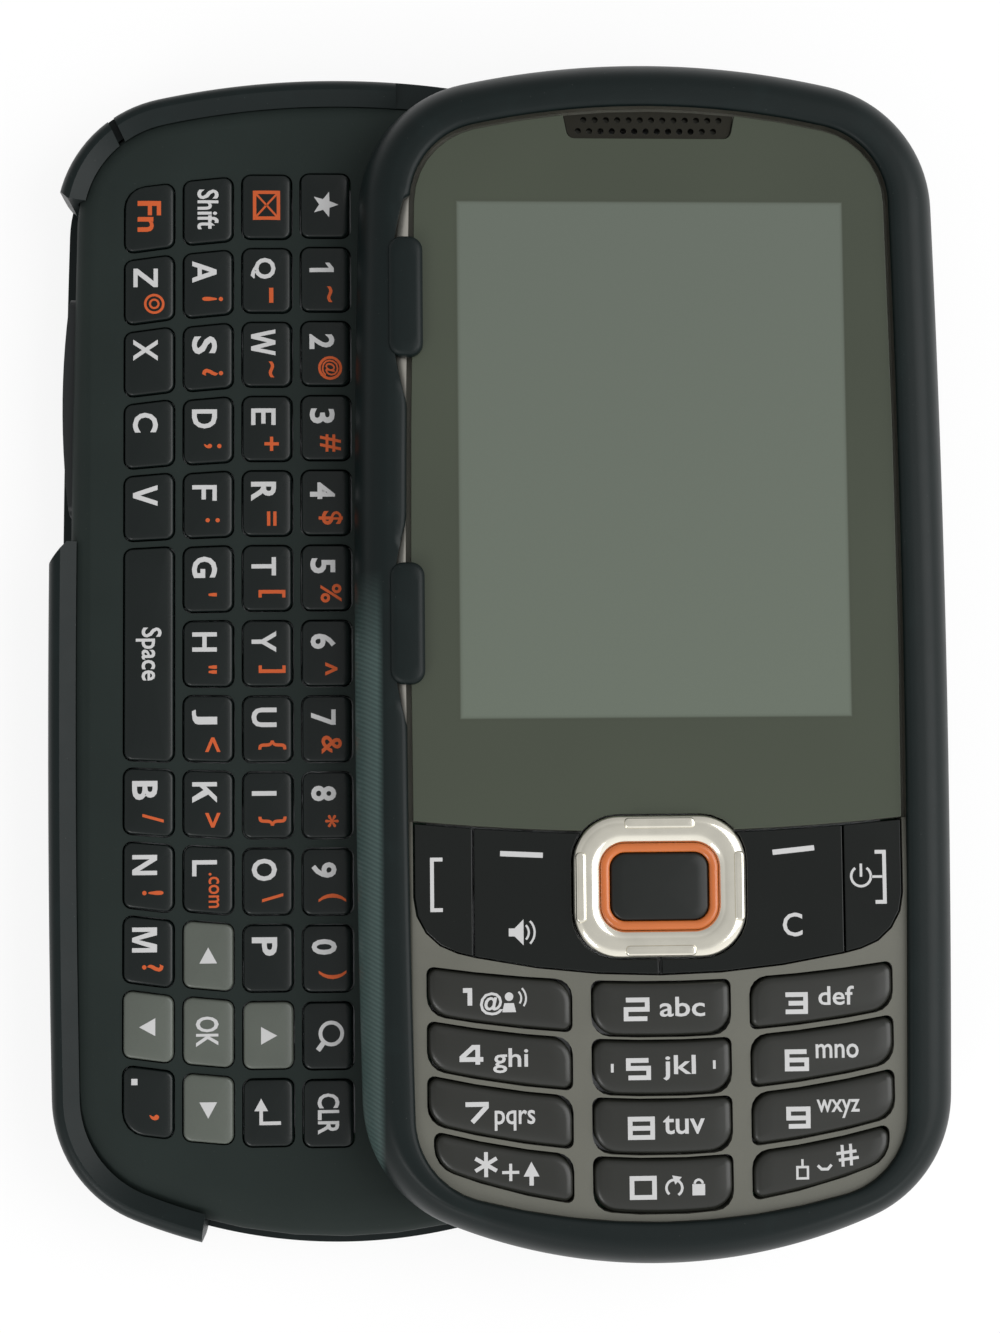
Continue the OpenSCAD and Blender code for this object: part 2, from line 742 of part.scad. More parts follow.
module vibration_motor() {
    height = housing_floor + 2;
    color("silver") translate([motor_spot[0] - 4, motor_spot[1], height]) rotate([0, 90, 0]) {
        cylinder(h = 6.5, r = 1.9);
        translate([0, 0, 6.4]) cylinder(h = 0.8, r = 0.4);
        intersection() {
            translate([0, 0, 7]) cylinder(h = 2.4, r = 1.8);
            translate([-3, -0.6, 6]) cube([6, 4, 4]);
        }
    }
}

module usb_port() {
    wall = 0.3;
    y = -half_length + 0.4;
    color("silver") difference() {
        block([usb_x - usb_size[0] / 2, y, usb_bottom],
              [usb_x + usb_size[0] / 2, y + usb_size[1], usb_bottom + usb_size[2]]);
        block([usb_x - usb_size[0] / 2 + wall, y - 1, usb_bottom + wall],
              [usb_x + usb_size[0] / 2 - wall, y + usb_size[1] - wall, usb_bottom + usb_size[2] - wall]);
    }
    color("black") block([usb_x - 2.6, y + 1, usb_bottom + 1.05],
                         [usb_x + 2.6, y + usb_size[1] - 0.1, usb_bottom + 1.65]);
}

module headset_jack() {
    color("black") difference() {
        union() {
            block([jack_from, jack_y - 3, housing_floor + seam],
                  [jack_from + jack_depth + 2, jack_y + 3, parting_height - seam]);
            translate([jack_from + 0.5, jack_y, jack_height]) rotate([0, -90, 0])
                cylinder(h = housing_wall + seam, r = jack_radius + 0.25);
        }
        translate([jack_from + jack_depth, jack_y, jack_height]) rotate([0, -90, 0])
            cylinder(h = 3 * jack_depth, r = jack_radius);
    }
}

module antenna() {
    color("khaki") intersection() {
        slab(outline(-housing_wall - 1.4), housing_floor + 1.6, board_bottom - seam);
        block([2.5, -far, 0], [half_width - 10.4, 10.4 - half_length, far]);
    }
}

module microphone() {
    color("gold") translate([microphone_x, 6.2 - half_length, 0])
        block([-1.9, -1.5, board_bottom - 3], [1.9, 1.5, board_bottom - seam]);
}

module base_screws() {
    color("silver") for (spot = base_screw_spots) {
        post(spot, screw_head, body_bottom + 0.45, housing_floor - seam);
        post(spot, screw_radius - 0.02, housing_floor - 0.1, base_plate_bottom - 1);
    }
}

// ---------- base: side keys ----------

// A bar pressed in from the side; its flange stops it inside the wall
module side_key(length, bow) {
    depth = housing_wall + side_key_rise;
    intersection() {
        rotate([90, 0, 90]) linear_extrude(depth + 1)
            polygon(rounded_rect(length, side_key_height, side_key_height / 2 - 0.1));
        translate([depth - bow, 0, -far]) cylinder(h = 2 * far, r = bow, $fn = 128);
    }
    block([-0.7, -length / 2 - side_key_flange, -side_key_height / 2 - side_key_flange],
          [-0.12, length / 2 + side_key_flange, side_key_height / 2 + side_key_flange]);
    block([-0.3, -length / 2 + 1.5, -side_key_height / 2 + 0.3],
          [0.3, length / 2 - 1.5, side_key_height / 2 - 0.3]);
}

module volume_key() {
    color("black") translate([housing_wall - half_width, volume_y, side_key_z]) mirror([1, 0, 0])
        side_key(volume_length, volume_bow);
}

module camera_key() {
    color("black") translate([half_width - housing_wall, camera_key_y, side_key_z])
        side_key(camera_key_length, camera_key_bow);
}

// ---------- slide mechanism ----------

module base_slide_plate() {
    middle = (base_plate_x[0] + base_plate_x[1]) / 2;
    width = base_plate_x[1] - base_plate_x[0];
    color("silver") difference() {
        union() {
            translate([middle, 0]) slab(rounded_rect(width, 2 * base_plate_y, 1.5),
                                        base_plate_bottom, base_plate_top);
            post(spring_pin_spot, spring_pin, base_plate_top - seam, slider_floor);
        }
        for (spot = stud_spots) post(spot, stud_neck + seam, 0, far);
        for (spot = stake_spots) post(spot, stake_radius + seam, 0, far);
        flex_slot_at(flex_base_x, 0, far);
    }
}

// Headed studs riveted to the base's plate: collar, neck in the slot, head behind it
module guide_studs() {
    play = 0.08;
    plate_top = slider_bottom + plate_thickness;
    color("ivory") for (spot = stud_spots) {
        post(spot, stud_neck, base_plate_bottom, plate_top + play + 0.1);
        post(spot, stud_head, base_plate_top + 0.01, slider_bottom - play);
        post(spot, stud_head, plate_top + play, plate_top + play + 0.5);
    }
}

module slider_plate() {
    color("silver") at_slider() {
        difference() {
            slab(rounded_rect(2 * plate_half_width, 2 * plate_half_length, 2),
                 slider_bottom, slider_bottom + plate_thickness);
            for (y = [-stud_y, stud_y]) stud_slot(y, slot_half_width, 0.1, slider_bottom - 1, far);
            flex_slot_at(flex_slider_x, slider_bottom - 1, far);
            pin_slot();
        }
        post(spring_post_spot, spring_pin, slider_bottom + plate_thickness - seam, slider_floor);
    }
}

module stud_slot(y, half_slot, spare, from, to) {
    block([slot_from - spare, y - half_slot, from], [slot_to + spare, y + half_slot, to]);
    post([slot_from - spare, y], half_slot, from, to);
    post([slot_to + spare, y], half_slot, from, to);
}

// The spring's pin stands on the base's plate and runs in a slot of its own
module pin_slot() {
    half_slot = spring_pin + 0.15;
    y = spring_pin_spot[1];
    x = [spring_pin_spot[0] - slide_travel, spring_pin_spot[0]];
    block([x[0] - 0.1, y - half_slot, slider_bottom - 1], [x[1] + 0.1, y + half_slot, far]);
    for (end = [x[0] - 0.1, x[1] + 0.1]) post([end, y], half_slot, slider_bottom - 1, far);
}

// A flat wave spring that pushes the slider towards either end of its travel
module slide_spring() {
    from = spring_pin_spot;
    to = spring_post_spot + [slide_travel, 0];
    eye = spring_pin + spring_wire + 0.12;
    height = slider_bottom + plate_thickness + spring_wire + 0.1;
    ahead = (to - from) / norm(to - from);
    across = [-ahead[1], ahead[0]];
    start = atan2(ahead[1], ahead[0]) - 90;
    hook = 290;
    waves = 3;
    swing = 2.6;
    wave = [for (k = [1 : 47]) let (t = k / 48)
        from - across * eye + (to - from) * t
        + across * swing * sin(360 * waves * t) * sin(180 * t)];
    color("silver") translate([0, 0, height])
        tube(concat(arc(from, eye, start - hook, start, 10), wave,
                    arc(to, eye, start, start + hook, 10)), spring_wire, 6);
}

// A round tube along a flat path
module tube(path, radius, sides) {
    last = len(path) - 1;
    points = [for (k = [0 : last])
        let (ahead = path[min(k + 1, last)] - path[max(k - 1, 0)],
             out = [-ahead[1], ahead[0]] / norm(ahead))
        for (s = [0 : sides - 1]) let (a = 360 * s / sides)
            [path[k][0] + radius * cos(a) * out[0], path[k][1] + radius * cos(a) * out[1],
             radius * sin(a)]];
    polyhedron(points, concat(
        [[for (s = [0 : sides - 1]) s]],
        [for (k = [0 : last - 1]) each wall_faces(sides, k, k + 1)],
        [[for (s = [sides - 1 : -1 : 0]) last * sides + s]]), convexity = 8);
}

// The flat cable leaves the base's board, folds back in the gap and enters the slider
module flex_cable() {
    low = base_plate_top + 0.35;
    high = slider_bottom - 0.35;
    fold = (high - low) / 2;
    rise_x = flex_slider_x + slide_travel;
    bend = 0.3;
    fold_x = half_width - 5;
    middle = concat(
        [[flex_base_x, board_top + film_thickness]],
        flip(arc([flex_base_x + bend, low - bend], bend, 90, 180, 3)),
        arc([fold_x, low + fold], fold, -90, 90, 6),
        flip(arc([rise_x + bend, high + bend], bend, 180, 270, 3)),
        [[rise_x, pad_board_bottom - 2 * seam]]);
    color("peru") rotate([90, 0, 0]) translate([0, 0, -flex_width / 2])
        linear_extrude(flex_width) polygon(ribbon(middle, flex_thickness / 2));
}

function ribbon(points, half) =
    let (last = len(points) - 1,
         across = [for (k = [0 : last])
            let (ahead = points[min(k + 1, last)] - points[max(k - 1, 0)])
            [-ahead[1], ahead[0]] / norm(ahead) * half])
    concat([for (k = [0 : last]) points[k] + across[k]],
           flip([for (k = [0 : last]) points[k] - across[k]]));

// ---------- slider: case and housings ----------

module front_case() {
    top = round_in(case_offset, lip_top, lip_reach + case_offset - 1.75, 4.6, 6);
    inside = round_in(case_gap, slider_top - 0.1 + case_gap, lip_reach, 3.4, 5);
    section = concat(
        round_up(case_offset, slider_bottom + 0.1, 0.6, 0.9, 2),
        top,
        [[0.55 - lip_reach, lip_top], [0.1 - lip_reach, lip_top - 0.22], [-lip_reach, lip_top - 0.6]],
        flip(inside),
        [[case_gap, slider_bottom + 0.1]]);
    color("darkslategray") at_slider() {
        difference() {
            frame(lip_rings(section));
            for (y = tab_spots) scallop(y);
        }
        for (y = tab_spots) clip_tab(y);
    }
}

// A shallow round bite out of the lip on each side of a clip tab
module scallop(y) {
    inner = lip_reach - half_width;
    radius = (pow(scallop_length / 2, 2) + pow(scallop_depth, 2)) / (2 * scallop_depth);
    intersection() {
        translate([inner - scallop_depth + radius, y, face_top - 0.35])
            cylinder(h = 3, r = radius, $fn = 128);
        block([-half_width, y - scallop_length / 2, 0], [inner + 1, y + scallop_length / 2, far]);
    }
}

module clip_tab(y) {
    inner = lip_reach - half_width;
    middle = [inner + 1.75 - tab_width / 2, y];
    bottom = slider_top + 0.06;
    top = slider_top + tab_height;
    bar = function (inset) [for (p = rounded_rect(tab_width - 2 * inset, tab_length - 2 * inset,
                                                  1.3 - inset)) p + middle];
    skin([[bar(0), bottom], [bar(0), top - 0.5], [bar(0.15), top - 0.18], [bar(0.5), top]]);
    block([inner - 2.2, y - tab_length / 2 + 1.2, face_top + 0.16],
          [middle[0], y + tab_length / 2 - 1.2, slider_top + 0.5]);
}

// The metallic frame round the slider's face
module side_trim() {
    section = concat(
        [[0, trim_bottom]],
        round_in(0, face_top, 3, 3.3, 5),
        [[-3, tray_top + 0.05], [-1.4, tray_top + 0.05], [-1.4, trim_bottom]]);
    color("silver") at_slider() frame(lip_rings(section));
}

module front_housing() {
    color("tan") at_slider() difference() {
        union() {
            slab(outline(-1.5), tray_bottom, tray_top);
            difference() {
                slab(lip_outline(-3.05), tray_top - seam, face_top);
                lens_region(0.1);
            }
            for (spot = slider_screw_spots) post(spot, boss_radius, slider_floor + seam, tray_bottom + seam);
        }
        for (spot = slider_screw_spots) post(spot, screw_radius, 0, tray_bottom + 0.2);
        translate([0, view_y]) slab(rounded_rect(view_width + 3.8, view_height + 5.8, 1.2), 0, far);
        translate(earpiece_speaker_spot) slab(rounded_rect(sound_hole[0], sound_hole[1], 0.7), 0, far);
        slab(function_outline(0), 0, far);
        nav_opening();
        for (key = number_keys) slab(number_key_outline(key, -key_clearance), 0, far);
    }
}

// Everything above the display window's curved foot
module lens_region(spare) {
    post([0, lens_foot_y + lens_foot_radius], lens_foot_radius + spare, tray_top, far, $fn = 256);
}

module display_window() {
    color("black") at_slider() difference() {
        intersection() {
            slab(outline(-lens_margin), tray_top + seam, slider_top);
            lens_region(0);
        }
        slab(earpiece_outline(0), 0, far);
        nav_opening();
    }
}

// A notch in the window's upper edge, narrower at its foot
function earpiece_outline(inset) =
    let (half = earpiece_width / 2 - inset, low = earpiece_y - earpiece_height / 2 + inset,
         high = half_length)
    rounded([[1.2 - half, low, 0.8], [half - 1.2, low, 0.8], [half, high, 0], [-half, high, 0]]);

module earpiece_grille() {
    pitch = 1.1;
    color("dimgray") at_slider() difference() {
        intersection() {
            slab(earpiece_outline(0.08), tray_top + seam, slider_top - 0.35);
            slab(outline(-lens_margin), 0, far);
        }
        for (k = [-6 : 6]) for (row = [-0.5, 0.5])
            post([k * pitch + row * pitch / 2, earpiece_y + row * pitch], 0.3, 0, far, $fn = 16);
    }
}

module earpiece_speaker() {
    color("silver") at_slider() translate(earpiece_speaker_spot)
        slab(rounded_rect(13, 5, 1.5), pad_board_top + seam, tray_bottom - seam);
}

module lcd_module() {
    color("lightslategray") at_slider() translate([0, view_y])
        slab(rounded_rect(view_width + 3.4, view_height + 5.4, 1), pad_board_top + seam, tray_top);
}

module slider_rear_housing() {
    color("dimgray") at_slider() difference() {
        skin(concat(
            rings(round_up(0, slider_bottom, 0.8, 1, 3)),
            rings([[0, trim_bottom - seam], [-housing_wall, trim_bottom - seam],
                   [-housing_wall, slider_floor]])));
        slab(rounded_rect(2 * (plate_half_width + pocket_gap), 2 * (plate_half_length + pocket_gap), 2.1),
             slider_bottom - 1, slider_bottom + plate_thickness + seam);
        for (y = [-stud_y, stud_y]) stud_slot(y, stud_head + 0.2, 0.15, slider_bottom - 1, far);
        flex_slot_at(flex_slider_x, slider_bottom - 1, far);
        translate([0, (spring_pin_spot[1] + spring_post_spot[1]) / 2])
            slab(rounded_rect(spring_window[0], spring_window[1], 2), slider_bottom - 1, far);
        for (spot = slider_screw_spots) {
            post(spot, screw_radius + 0.05, slider_bottom - 1, far);
            post(spot, screw_head + 0.1, slider_bottom - 1, slider_bottom + 0.8);
        }
    }
}

module slider_screws() {
    color("silver") at_slider() for (spot = slider_screw_spots) {
        post(spot, screw_head, slider_bottom + 0.15, slider_bottom + 0.75);
        post(spot, screw_radius - 0.02, slider_bottom + 0.7, tray_bottom);
    }
}

module keypad_pcb() {
    color("seagreen") at_slider() difference() {
        slab(outline(-housing_wall - 1.6), pad_board_bottom, pad_board_top);
        for (spot = slider_screw_spots) post(spot, boss_notch, 0, far);
    }
}

module keypad_dome_sheet() {
    color("silver") at_slider() {
        intersection() {
            slab(outline(-housing_wall - 3.6), pad_board_top, pad_board_top + film_thickness);
            block([-far, -far, 0], [far, view_y - view_height / 2 - 4.2, far]);
        }
        for (spot = pad_dome_spots) translate(spot) dome(pad_board_top);
    }
}

// ---------- slider: number keys ----------

// Each key is [side, row]: side -1, 0 or 1 across the phone, row 0 to 3 down it
key_place = function (name) [for (key = number_keys) if (key[2] == name) key][0];
number_keys = [
    [-1, 0, "1"], [0, 0, "2"], [1, 0, "3"],
    [-1, 1, "4"], [0, 1, "5"], [1, 1, "6"],
    [-1, 2, "7"], [0, 2, "8"], [1, 2, "9"],
    [-1, 3, "star"], [0, 3, "0"], [1, 3, "hash"]];
outer_from = middle_key_half_width + number_column_gap;
outer_to = half_width - number_side_margin;
last_row_draw = 0.6;
last_row_trim = [0, 0.2];

// Upper and lower edge of a row, as the height above its middle at a distance x
function row_edge(row, x) = x * x * (row_bend + row_bend_step * row) / 2;
function row_top(row) = number_top_y - row * number_row_pitch;

function number_key_outline(key, inset) =
    let (row = key[1],
         middle = key[0] == 0,
         last = row == 3,
         low_row = last ? 6.5 : row + 1,
         trim = last ? last_row_trim[middle ? 0 : 1] : 0,
         height = (middle ? middle_key_height : outer_key_height) - trim,
         x0 = (middle ? -middle_key_half_width : outer_from) + inset,
         x1 = (middle ? middle_key_half_width : outer_to - (last ? last_row_draw : 0)) - inset,
         high = row_top(row) - inset,
         low = row_top(row) - height + inset,
         third = (x1 - x0) / 3,
         round = function (r) max(r - inset, 0.1),
         lower = [for (k = [0 : 3]) let (x = x0 + third * k) [x, low + row_edge(low_row, x),
            k == 0 ? round(middle ? 1.7 : 0.5) : k == 3 ? round(middle ? 1.7 : last ? 2.6 : 1.9) : 0]],
         upper = [for (k = [3 : -1 : 0]) let (x = x0 + third * k) [x, high + row_edge(row, x),
            k == 3 ? round(0.5) : k == 0 ? round(middle ? 0.6 : 1.6) : 0]],
         loop = rounded(concat(lower, upper)))
    key[0] == -1 ? flip([for (p = loop) [-p[0], p[1]]]) : loop;

function number_key_middle(key) =
    let (x = key[0] * (outer_from + outer_to) / 2, row = key[1])
    [x, row_top(row) - outer_key_height / 2 + row_edge(row + 0.5, x)];

module number_key(name) {
    key = key_place(name);
    color("dimgray") at_slider() {
        skin([[number_key_outline(key, 0), pad_cap_bottom],
              [number_key_outline(key, 0), key_top - 0.5],
              [number_key_outline(key, 0.1), key_top - 0.22],
              [number_key_outline(key, 0.32), key_top - 0.06],
              [number_key_outline(key, 0.75), key_top]]);
        post(number_key_middle(key), 1.3, pad_plunger_bottom, pad_cap_bottom + seam);
    }
}

module key_1() { number_key("1"); }
module key_2() { number_key("2"); }
module key_3() { number_key("3"); }
module key_4() { number_key("4"); }
module key_5() { number_key("5"); }
module key_6() { number_key("6"); }
module key_7() { number_key("7"); }
module key_8() { number_key("8"); }
module key_9() { number_key("9"); }
module key_star() { number_key("star"); }
module key_0() { number_key("0"); }
module key_hash() { number_key("hash"); }

// ---------- slider: function keys ----------

// The dark area under the display window, drawn in by a distance
function function_outline(inset) =
    let (side = half_width - lens_margin - 0.05 - inset,
         low = function (x) function_foot_y + inset + function_foot_radius
            - sqrt(pow(function_foot_radius, 2) - x * x),
         high = function (x) lens_foot_y - 0.1 - inset + lens_foot_radius
            - sqrt(pow(lens_foot_radius, 2) - x * x),
         lower = [for (k = [-4 : 4]) let (x = side * k / 4)
            [x, low(x), abs(k) == 4 ? function_corner - inset : 0]],
         upper = [for (k = [4 : -1 : -4]) let (x = side * k / 4) [x, high(x), 0]])
    rounded(concat(lower, upper));

talk_spot = [-(function_divide + 2.9), nav_y];
inner_spot = [-(function_divide + nav_width / 2) / 2 - 0.4, nav_y - 3];
nav_plunger_spots = [for (x = [-1, 1]) [x * (nav_width / 2 - nav_band / 2), nav_y]];
pad_dome_spots = concat(
    [for (key = number_keys) number_key_middle(key)],
    [talk_spot, [-talk_spot[0], nav_y], inner_spot, [-inner_spot[0], inner_spot[1]], [0, nav_y]],
    nav_plunger_spots);
function_top = slider_top - 0.05;

module nav_opening() {
    spare = 2 * key_clearance;
    translate([0, nav_y]) slab(rounded_rect(nav_width + spare, nav_height + spare, 4.4, 6), 0, far);
}

// One cap of the function area, between two distances from the phone's middle
module function_cap(from, to, spot) {
    color("black") at_slider() {
        difference() {
            intersection() {
                slab(function_outline(key_clearance), pad_cap_bottom, function_top);
                block([from, -far, 0], [to, far, far]);
            }
            nav_opening();
        }
        post(spot, 1.2, pad_plunger_bottom, pad_cap_bottom + seam);
    }
}

function_split = key_clearance / 2;

module talk_key() { function_cap(-far, -function_divide - function_split, talk_spot); }

module left_function_key() {
    function_cap(-function_divide + function_split, -2 * function_split, inner_spot);
}

module right_function_key() {
    function_cap(2 * function_split, function_divide - function_split, [-inner_spot[0], inner_spot[1]]);
}

module end_key() { function_cap(function_divide + function_split, far, [-talk_spot[0], nav_y]); }

// The navigation key: a crowned chrome frame with four raised bars
module nav_ring() {
    hole = [nav_width - 2 * nav_band, nav_height - 2 * nav_band];
    band = function (inset)
        rounded_rect(nav_width - 2 * inset, nav_height - 2 * inset, 4.3 - 0.55 * inset, 6);
    bar_rise = 0.22;
    color("silver") at_slider() translate([0, nav_y]) {
        frame([[band(0), pad_cap_bottom], [band(0), nav_top - 0.42], [band(0.12), nav_top - 0.2],
               [band(0.45), nav_top - 0.05], [band(1), nav_top], [band(nav_band - 0.5), nav_top - 0.1],
               [band(nav_band - 0.15), nav_top - 0.3], [band(nav_band), nav_top - 0.6],
               [band(nav_band), pad_cap_bottom]]);
        for (y = [-1, 1]) translate([0, y * (nav_height / 2 - 0.95)])
            slab(rounded_rect(6.4, 0.9, 0.3), nav_top - 0.4, nav_top + bar_rise);
        for (x = [-1, 1]) translate([x * (nav_width / 2 - 0.75), 0])
            slab(rounded_rect(0.75, 6.6, 0.3), nav_top - 0.4, nav_top + bar_rise);
        for (x = [-1, 1]) post([x * (nav_width / 2 - nav_band / 2), 0], 0.8,
                               pad_plunger_bottom, pad_cap_bottom + seam);
    }
}

accent_gap = 0.06;

module nav_accent() {
    outer = [nav_width - 2 * nav_band - 2 * accent_gap, nav_height - 2 * nav_band - 2 * accent_gap];
    color("orangered") at_slider() translate([0, nav_y]) difference() {
        slab(rounded_rect(outer[0], outer[1], 2.9, 6), pad_cap_bottom + 0.4, nav_top - 0.35);
        slab(rounded_rect(outer[0] - 2 * accent_band, outer[1] - 2 * accent_band, 2.1, 6), 0, far);
    }
}

module nav_select_key() {
    inset = nav_band + accent_gap + accent_band + key_clearance;
    color("black") at_slider() translate([0, nav_y]) {
        slab(rounded_rect(nav_width - 2 * inset, nav_height - 2 * inset, 1.95, 6),
             pad_cap_bottom, nav_top - 0.3);
        post([0, 0], 1.3, pad_plunger_bottom, pad_cap_bottom + seam);
    }
}

back_case();
rear_housing();
battery_cover();
battery();
battery_contacts();
keyboard_housing();
main_pcb();
keyboard_dome_sheet();
camera_module();
camera_window();
loudspeaker();
vibration_motor();
usb_port();
headset_jack();
antenna();
microphone();
base_slide_plate();
guide_studs();
base_screws();
volume_key();
camera_key();
number_row_keys();
top_letter_keys();
home_letter_keys();
bottom_letter_keys();
space_key();
cursor_keys();
slide_spring();
flex_cable();
front_case();
front_housing();
side_trim();
display_window();
lcd_module();
slider_rear_housing();
slider_plate();
keypad_pcb();
keypad_dome_sheet();
earpiece_speaker();
earpiece_grille();
slider_screws();
key_1();
key_2();
key_3();
key_4();
key_5();
key_6();
key_7();
key_8();
key_9();
key_star();
key_0();
key_hash();
talk_key();
left_function_key();
right_function_key();
end_key();
nav_ring();
nav_accent();
nav_select_key();
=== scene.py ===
# %% [markdown]
# # A side-sliding messaging phone in its clip-on case
# The phone lies on its back with the keyboard out. Its hard parts were drawn in a CAD
# program, and this file gives them their finish. We load the CAD model first, because every
# piece that we make has to sit on it. Lengths are worked out in millimetres, as on the
# drawing, and turned to metres only when a mesh is made.

# %% The CAD model
import json
import math

import bmesh
import bpy
import numpy as np
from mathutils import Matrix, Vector


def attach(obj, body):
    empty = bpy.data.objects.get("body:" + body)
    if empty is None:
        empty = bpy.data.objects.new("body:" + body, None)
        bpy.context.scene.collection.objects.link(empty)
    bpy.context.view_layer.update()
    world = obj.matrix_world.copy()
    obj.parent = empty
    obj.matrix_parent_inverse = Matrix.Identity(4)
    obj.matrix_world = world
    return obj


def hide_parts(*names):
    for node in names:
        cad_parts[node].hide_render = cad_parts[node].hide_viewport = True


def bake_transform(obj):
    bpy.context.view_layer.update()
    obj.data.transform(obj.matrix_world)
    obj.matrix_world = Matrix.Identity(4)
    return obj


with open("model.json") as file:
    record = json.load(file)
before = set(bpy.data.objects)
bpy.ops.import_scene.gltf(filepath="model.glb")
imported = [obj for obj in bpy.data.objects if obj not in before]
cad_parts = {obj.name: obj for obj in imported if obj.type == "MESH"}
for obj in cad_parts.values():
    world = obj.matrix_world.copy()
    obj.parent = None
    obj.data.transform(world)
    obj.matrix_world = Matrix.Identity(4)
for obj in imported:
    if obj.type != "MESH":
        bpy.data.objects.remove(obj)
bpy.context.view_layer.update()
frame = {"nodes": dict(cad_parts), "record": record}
nodes = frame["nodes"]
bodies = frame["record"]["behaviour"]["bodies"]
body_of = {node: body for body, names in bodies.items() for node in names}
MM = 0.001
print("CAD nodes:", len(nodes))


def linked(name, data):
    """A new object in the scene."""
    made = bpy.data.objects.new(name, data)
    bpy.context.scene.collection.objects.link(made)
    return made


# %% [markdown]
# ## The camera
# The photograph was taken by hand from almost straight above, about 22 cm away. That is close
# enough for the slider, which stands 7 mm higher than the keyboard, to look larger than it.
# A camera of the same place, tilt and lens shows the same shift, so these values were
# worked out from the photograph's own outline and key grid.

# %% The camera over the phone
LENS_MM, CAMERA_AT, CAMERA_TURN = 77.37, (5.226, -14.974, 220), (0.0673, -0.0476, -0.0094)
camera = linked("camera", bpy.data.cameras.new("camera"))
camera.data.sensor_fit, camera.data.sensor_width = "HORIZONTAL", 36.0
camera.data.lens, camera.data.clip_start = LENS_MM, 0.01
camera.location = np.array(CAMERA_AT) * MM
camera.rotation_euler = CAMERA_TURN
bpy.context.scene.camera = camera
bpy.context.scene.view_settings.view_transform = "Standard"
print("camera:", LENS_MM, "mm lens,", CAMERA_AT[2], "mm above the phone")

# %% [markdown]
# ## Writing materials as sums
# A material in Blender is a graph of nodes. Clicking it together hides the arithmetic, so a
# small class wraps a socket and turns `a * b + 1` into Math nodes. One method makes any other
# node. Everything that varies over a surface is then one readable expression.

# %% A socket that can be calculated with
class Amount:
    """A value socket. Each operator adds the Math node of its name and returns the result."""

    def __init__(self, tree, socket):
        self.tree, self.socket = tree, socket

    def maths(self, operation, *values, clamp=False):
        """A Math node of these values, held between 0 and 1 if clamp is set."""
        step = self.tree.nodes.new("ShaderNodeMath")
        step.operation, step.use_clamp = operation, clamp
        for put, value in zip(step.inputs, values):
            if isinstance(value, Amount):
                self.tree.links.new(value.socket, put)
            else:
                put.default_value = value
        return Amount(self.tree, step.outputs[0])

    def __add__(self, other): return self.maths("ADD", self, other)
    def __radd__(self, other): return self.maths("ADD", other, self)
    def __sub__(self, other): return self.maths("SUBTRACT", self, other)
    def __rsub__(self, other): return self.maths("SUBTRACT", other, self)
    def __mul__(self, other): return self.maths("MULTIPLY", self, other)
    def __abs__(self): return self.maths("ABSOLUTE", self)
    def __lt__(self, other): return self.maths("LESS_THAN", self, other)

    def held(self): return self.maths("ADD", self, 0.0, clamp=True)
    def low_of(self, other): return self.maths("MINIMUM", self, other)
    def high_of(self, other): return self.maths("MAXIMUM", self, other)


# %% The tree of nodes behind a finish
def opaque(tint):
    """A plain colour with its alpha; a socket stays as it is."""
    return (*tint, 1.0) if isinstance(tint, tuple) else tint


class Finish:
    """The tree of nodes behind one material, or behind the world."""

    def __init__(self, name, world=None):
        self.owner = world or bpy.data.materials.new(name)
        self.owner.use_nodes = True
        self.tree = self.owner.node_tree
        self.tree.nodes.clear()
        kind = "World" if world else "Material"
        self.out = self.tree.nodes.new("ShaderNodeOutput" + kind)

    def node(self, kind, inputs=None, **settings):
        """Adds a node: its settings first, then a value or a link for each named input."""
        made = self.tree.nodes.new(kind)
        for key, value in settings.items():
            setattr(made, key, value)
        for key, value in (inputs or {}).items():
            if isinstance(value, Amount):
                value = value.socket
            if isinstance(value, bpy.types.NodeSocket):
                self.tree.links.new(value, made.inputs[key])
            else:
                made.inputs[key].default_value = value
        return made

    def end(self, shader):
        """Ends the tree in this shader."""
        self.tree.links.new(shader.outputs[0], self.out.inputs[0])
        return self.owner

    def parts(self, vector):
        """The three parts of a vector as amounts."""
        split = self.node("ShaderNodeSeparateXYZ", {0: vector})
        return [Amount(self.tree, out) for out in split.outputs]

    def place(self, scale=(1, 1, 1)):
        """Where a point of the piece is, in millimetres, stretched by scale."""
        spot = self.node("ShaderNodeTexCoord").outputs["Object"]
        size = tuple(s / MM for s in scale)
        return self.node("ShaderNodeMapping", {"Vector": spot, "Scale": size}).outputs[0]

    def noise(self, per_mm, detail=3.0, rough=0.5, stretch=(1, 1, 1)):
        """Smooth noise from 0 to 1 with per_mm blotches in a millimetre."""
        made = self.node("ShaderNodeTexNoise", {
            "Vector": self.place(stretch), "Scale": per_mm, "Detail": detail,
            "Roughness": rough})
        return Amount(self.tree, made.outputs[0])

    def specks(self, per_mm, share):
        """1 inside small round dots scattered over the surface, and 0 elsewhere."""
        cells = self.node("ShaderNodeTexVoronoi", {"Vector": self.place(), "Scale": per_mm})
        return Amount(self.tree, cells.outputs["Distance"]) < share

    def mix(self, share, first, second):
        """The first colour where share is 0, and the second where it is 1."""
        inputs = {0: share, 6: opaque(first), 7: opaque(second)}
        return self.node("ShaderNodeMix", inputs, data_type="RGBA").outputs[2]

    def bump(self, height, depth_mm, strength):
        """Directions of a surface that rises by height times depth_mm."""
        return self.node("ShaderNodeBump", {
            "Height": height, "Distance": depth_mm * MM, "Strength": strength}).outputs[0]

    def shine(self, inputs):
        """Ends the material in one Principled shader."""
        return self.end(self.node("ShaderNodeBsdfPrincipled", inputs))


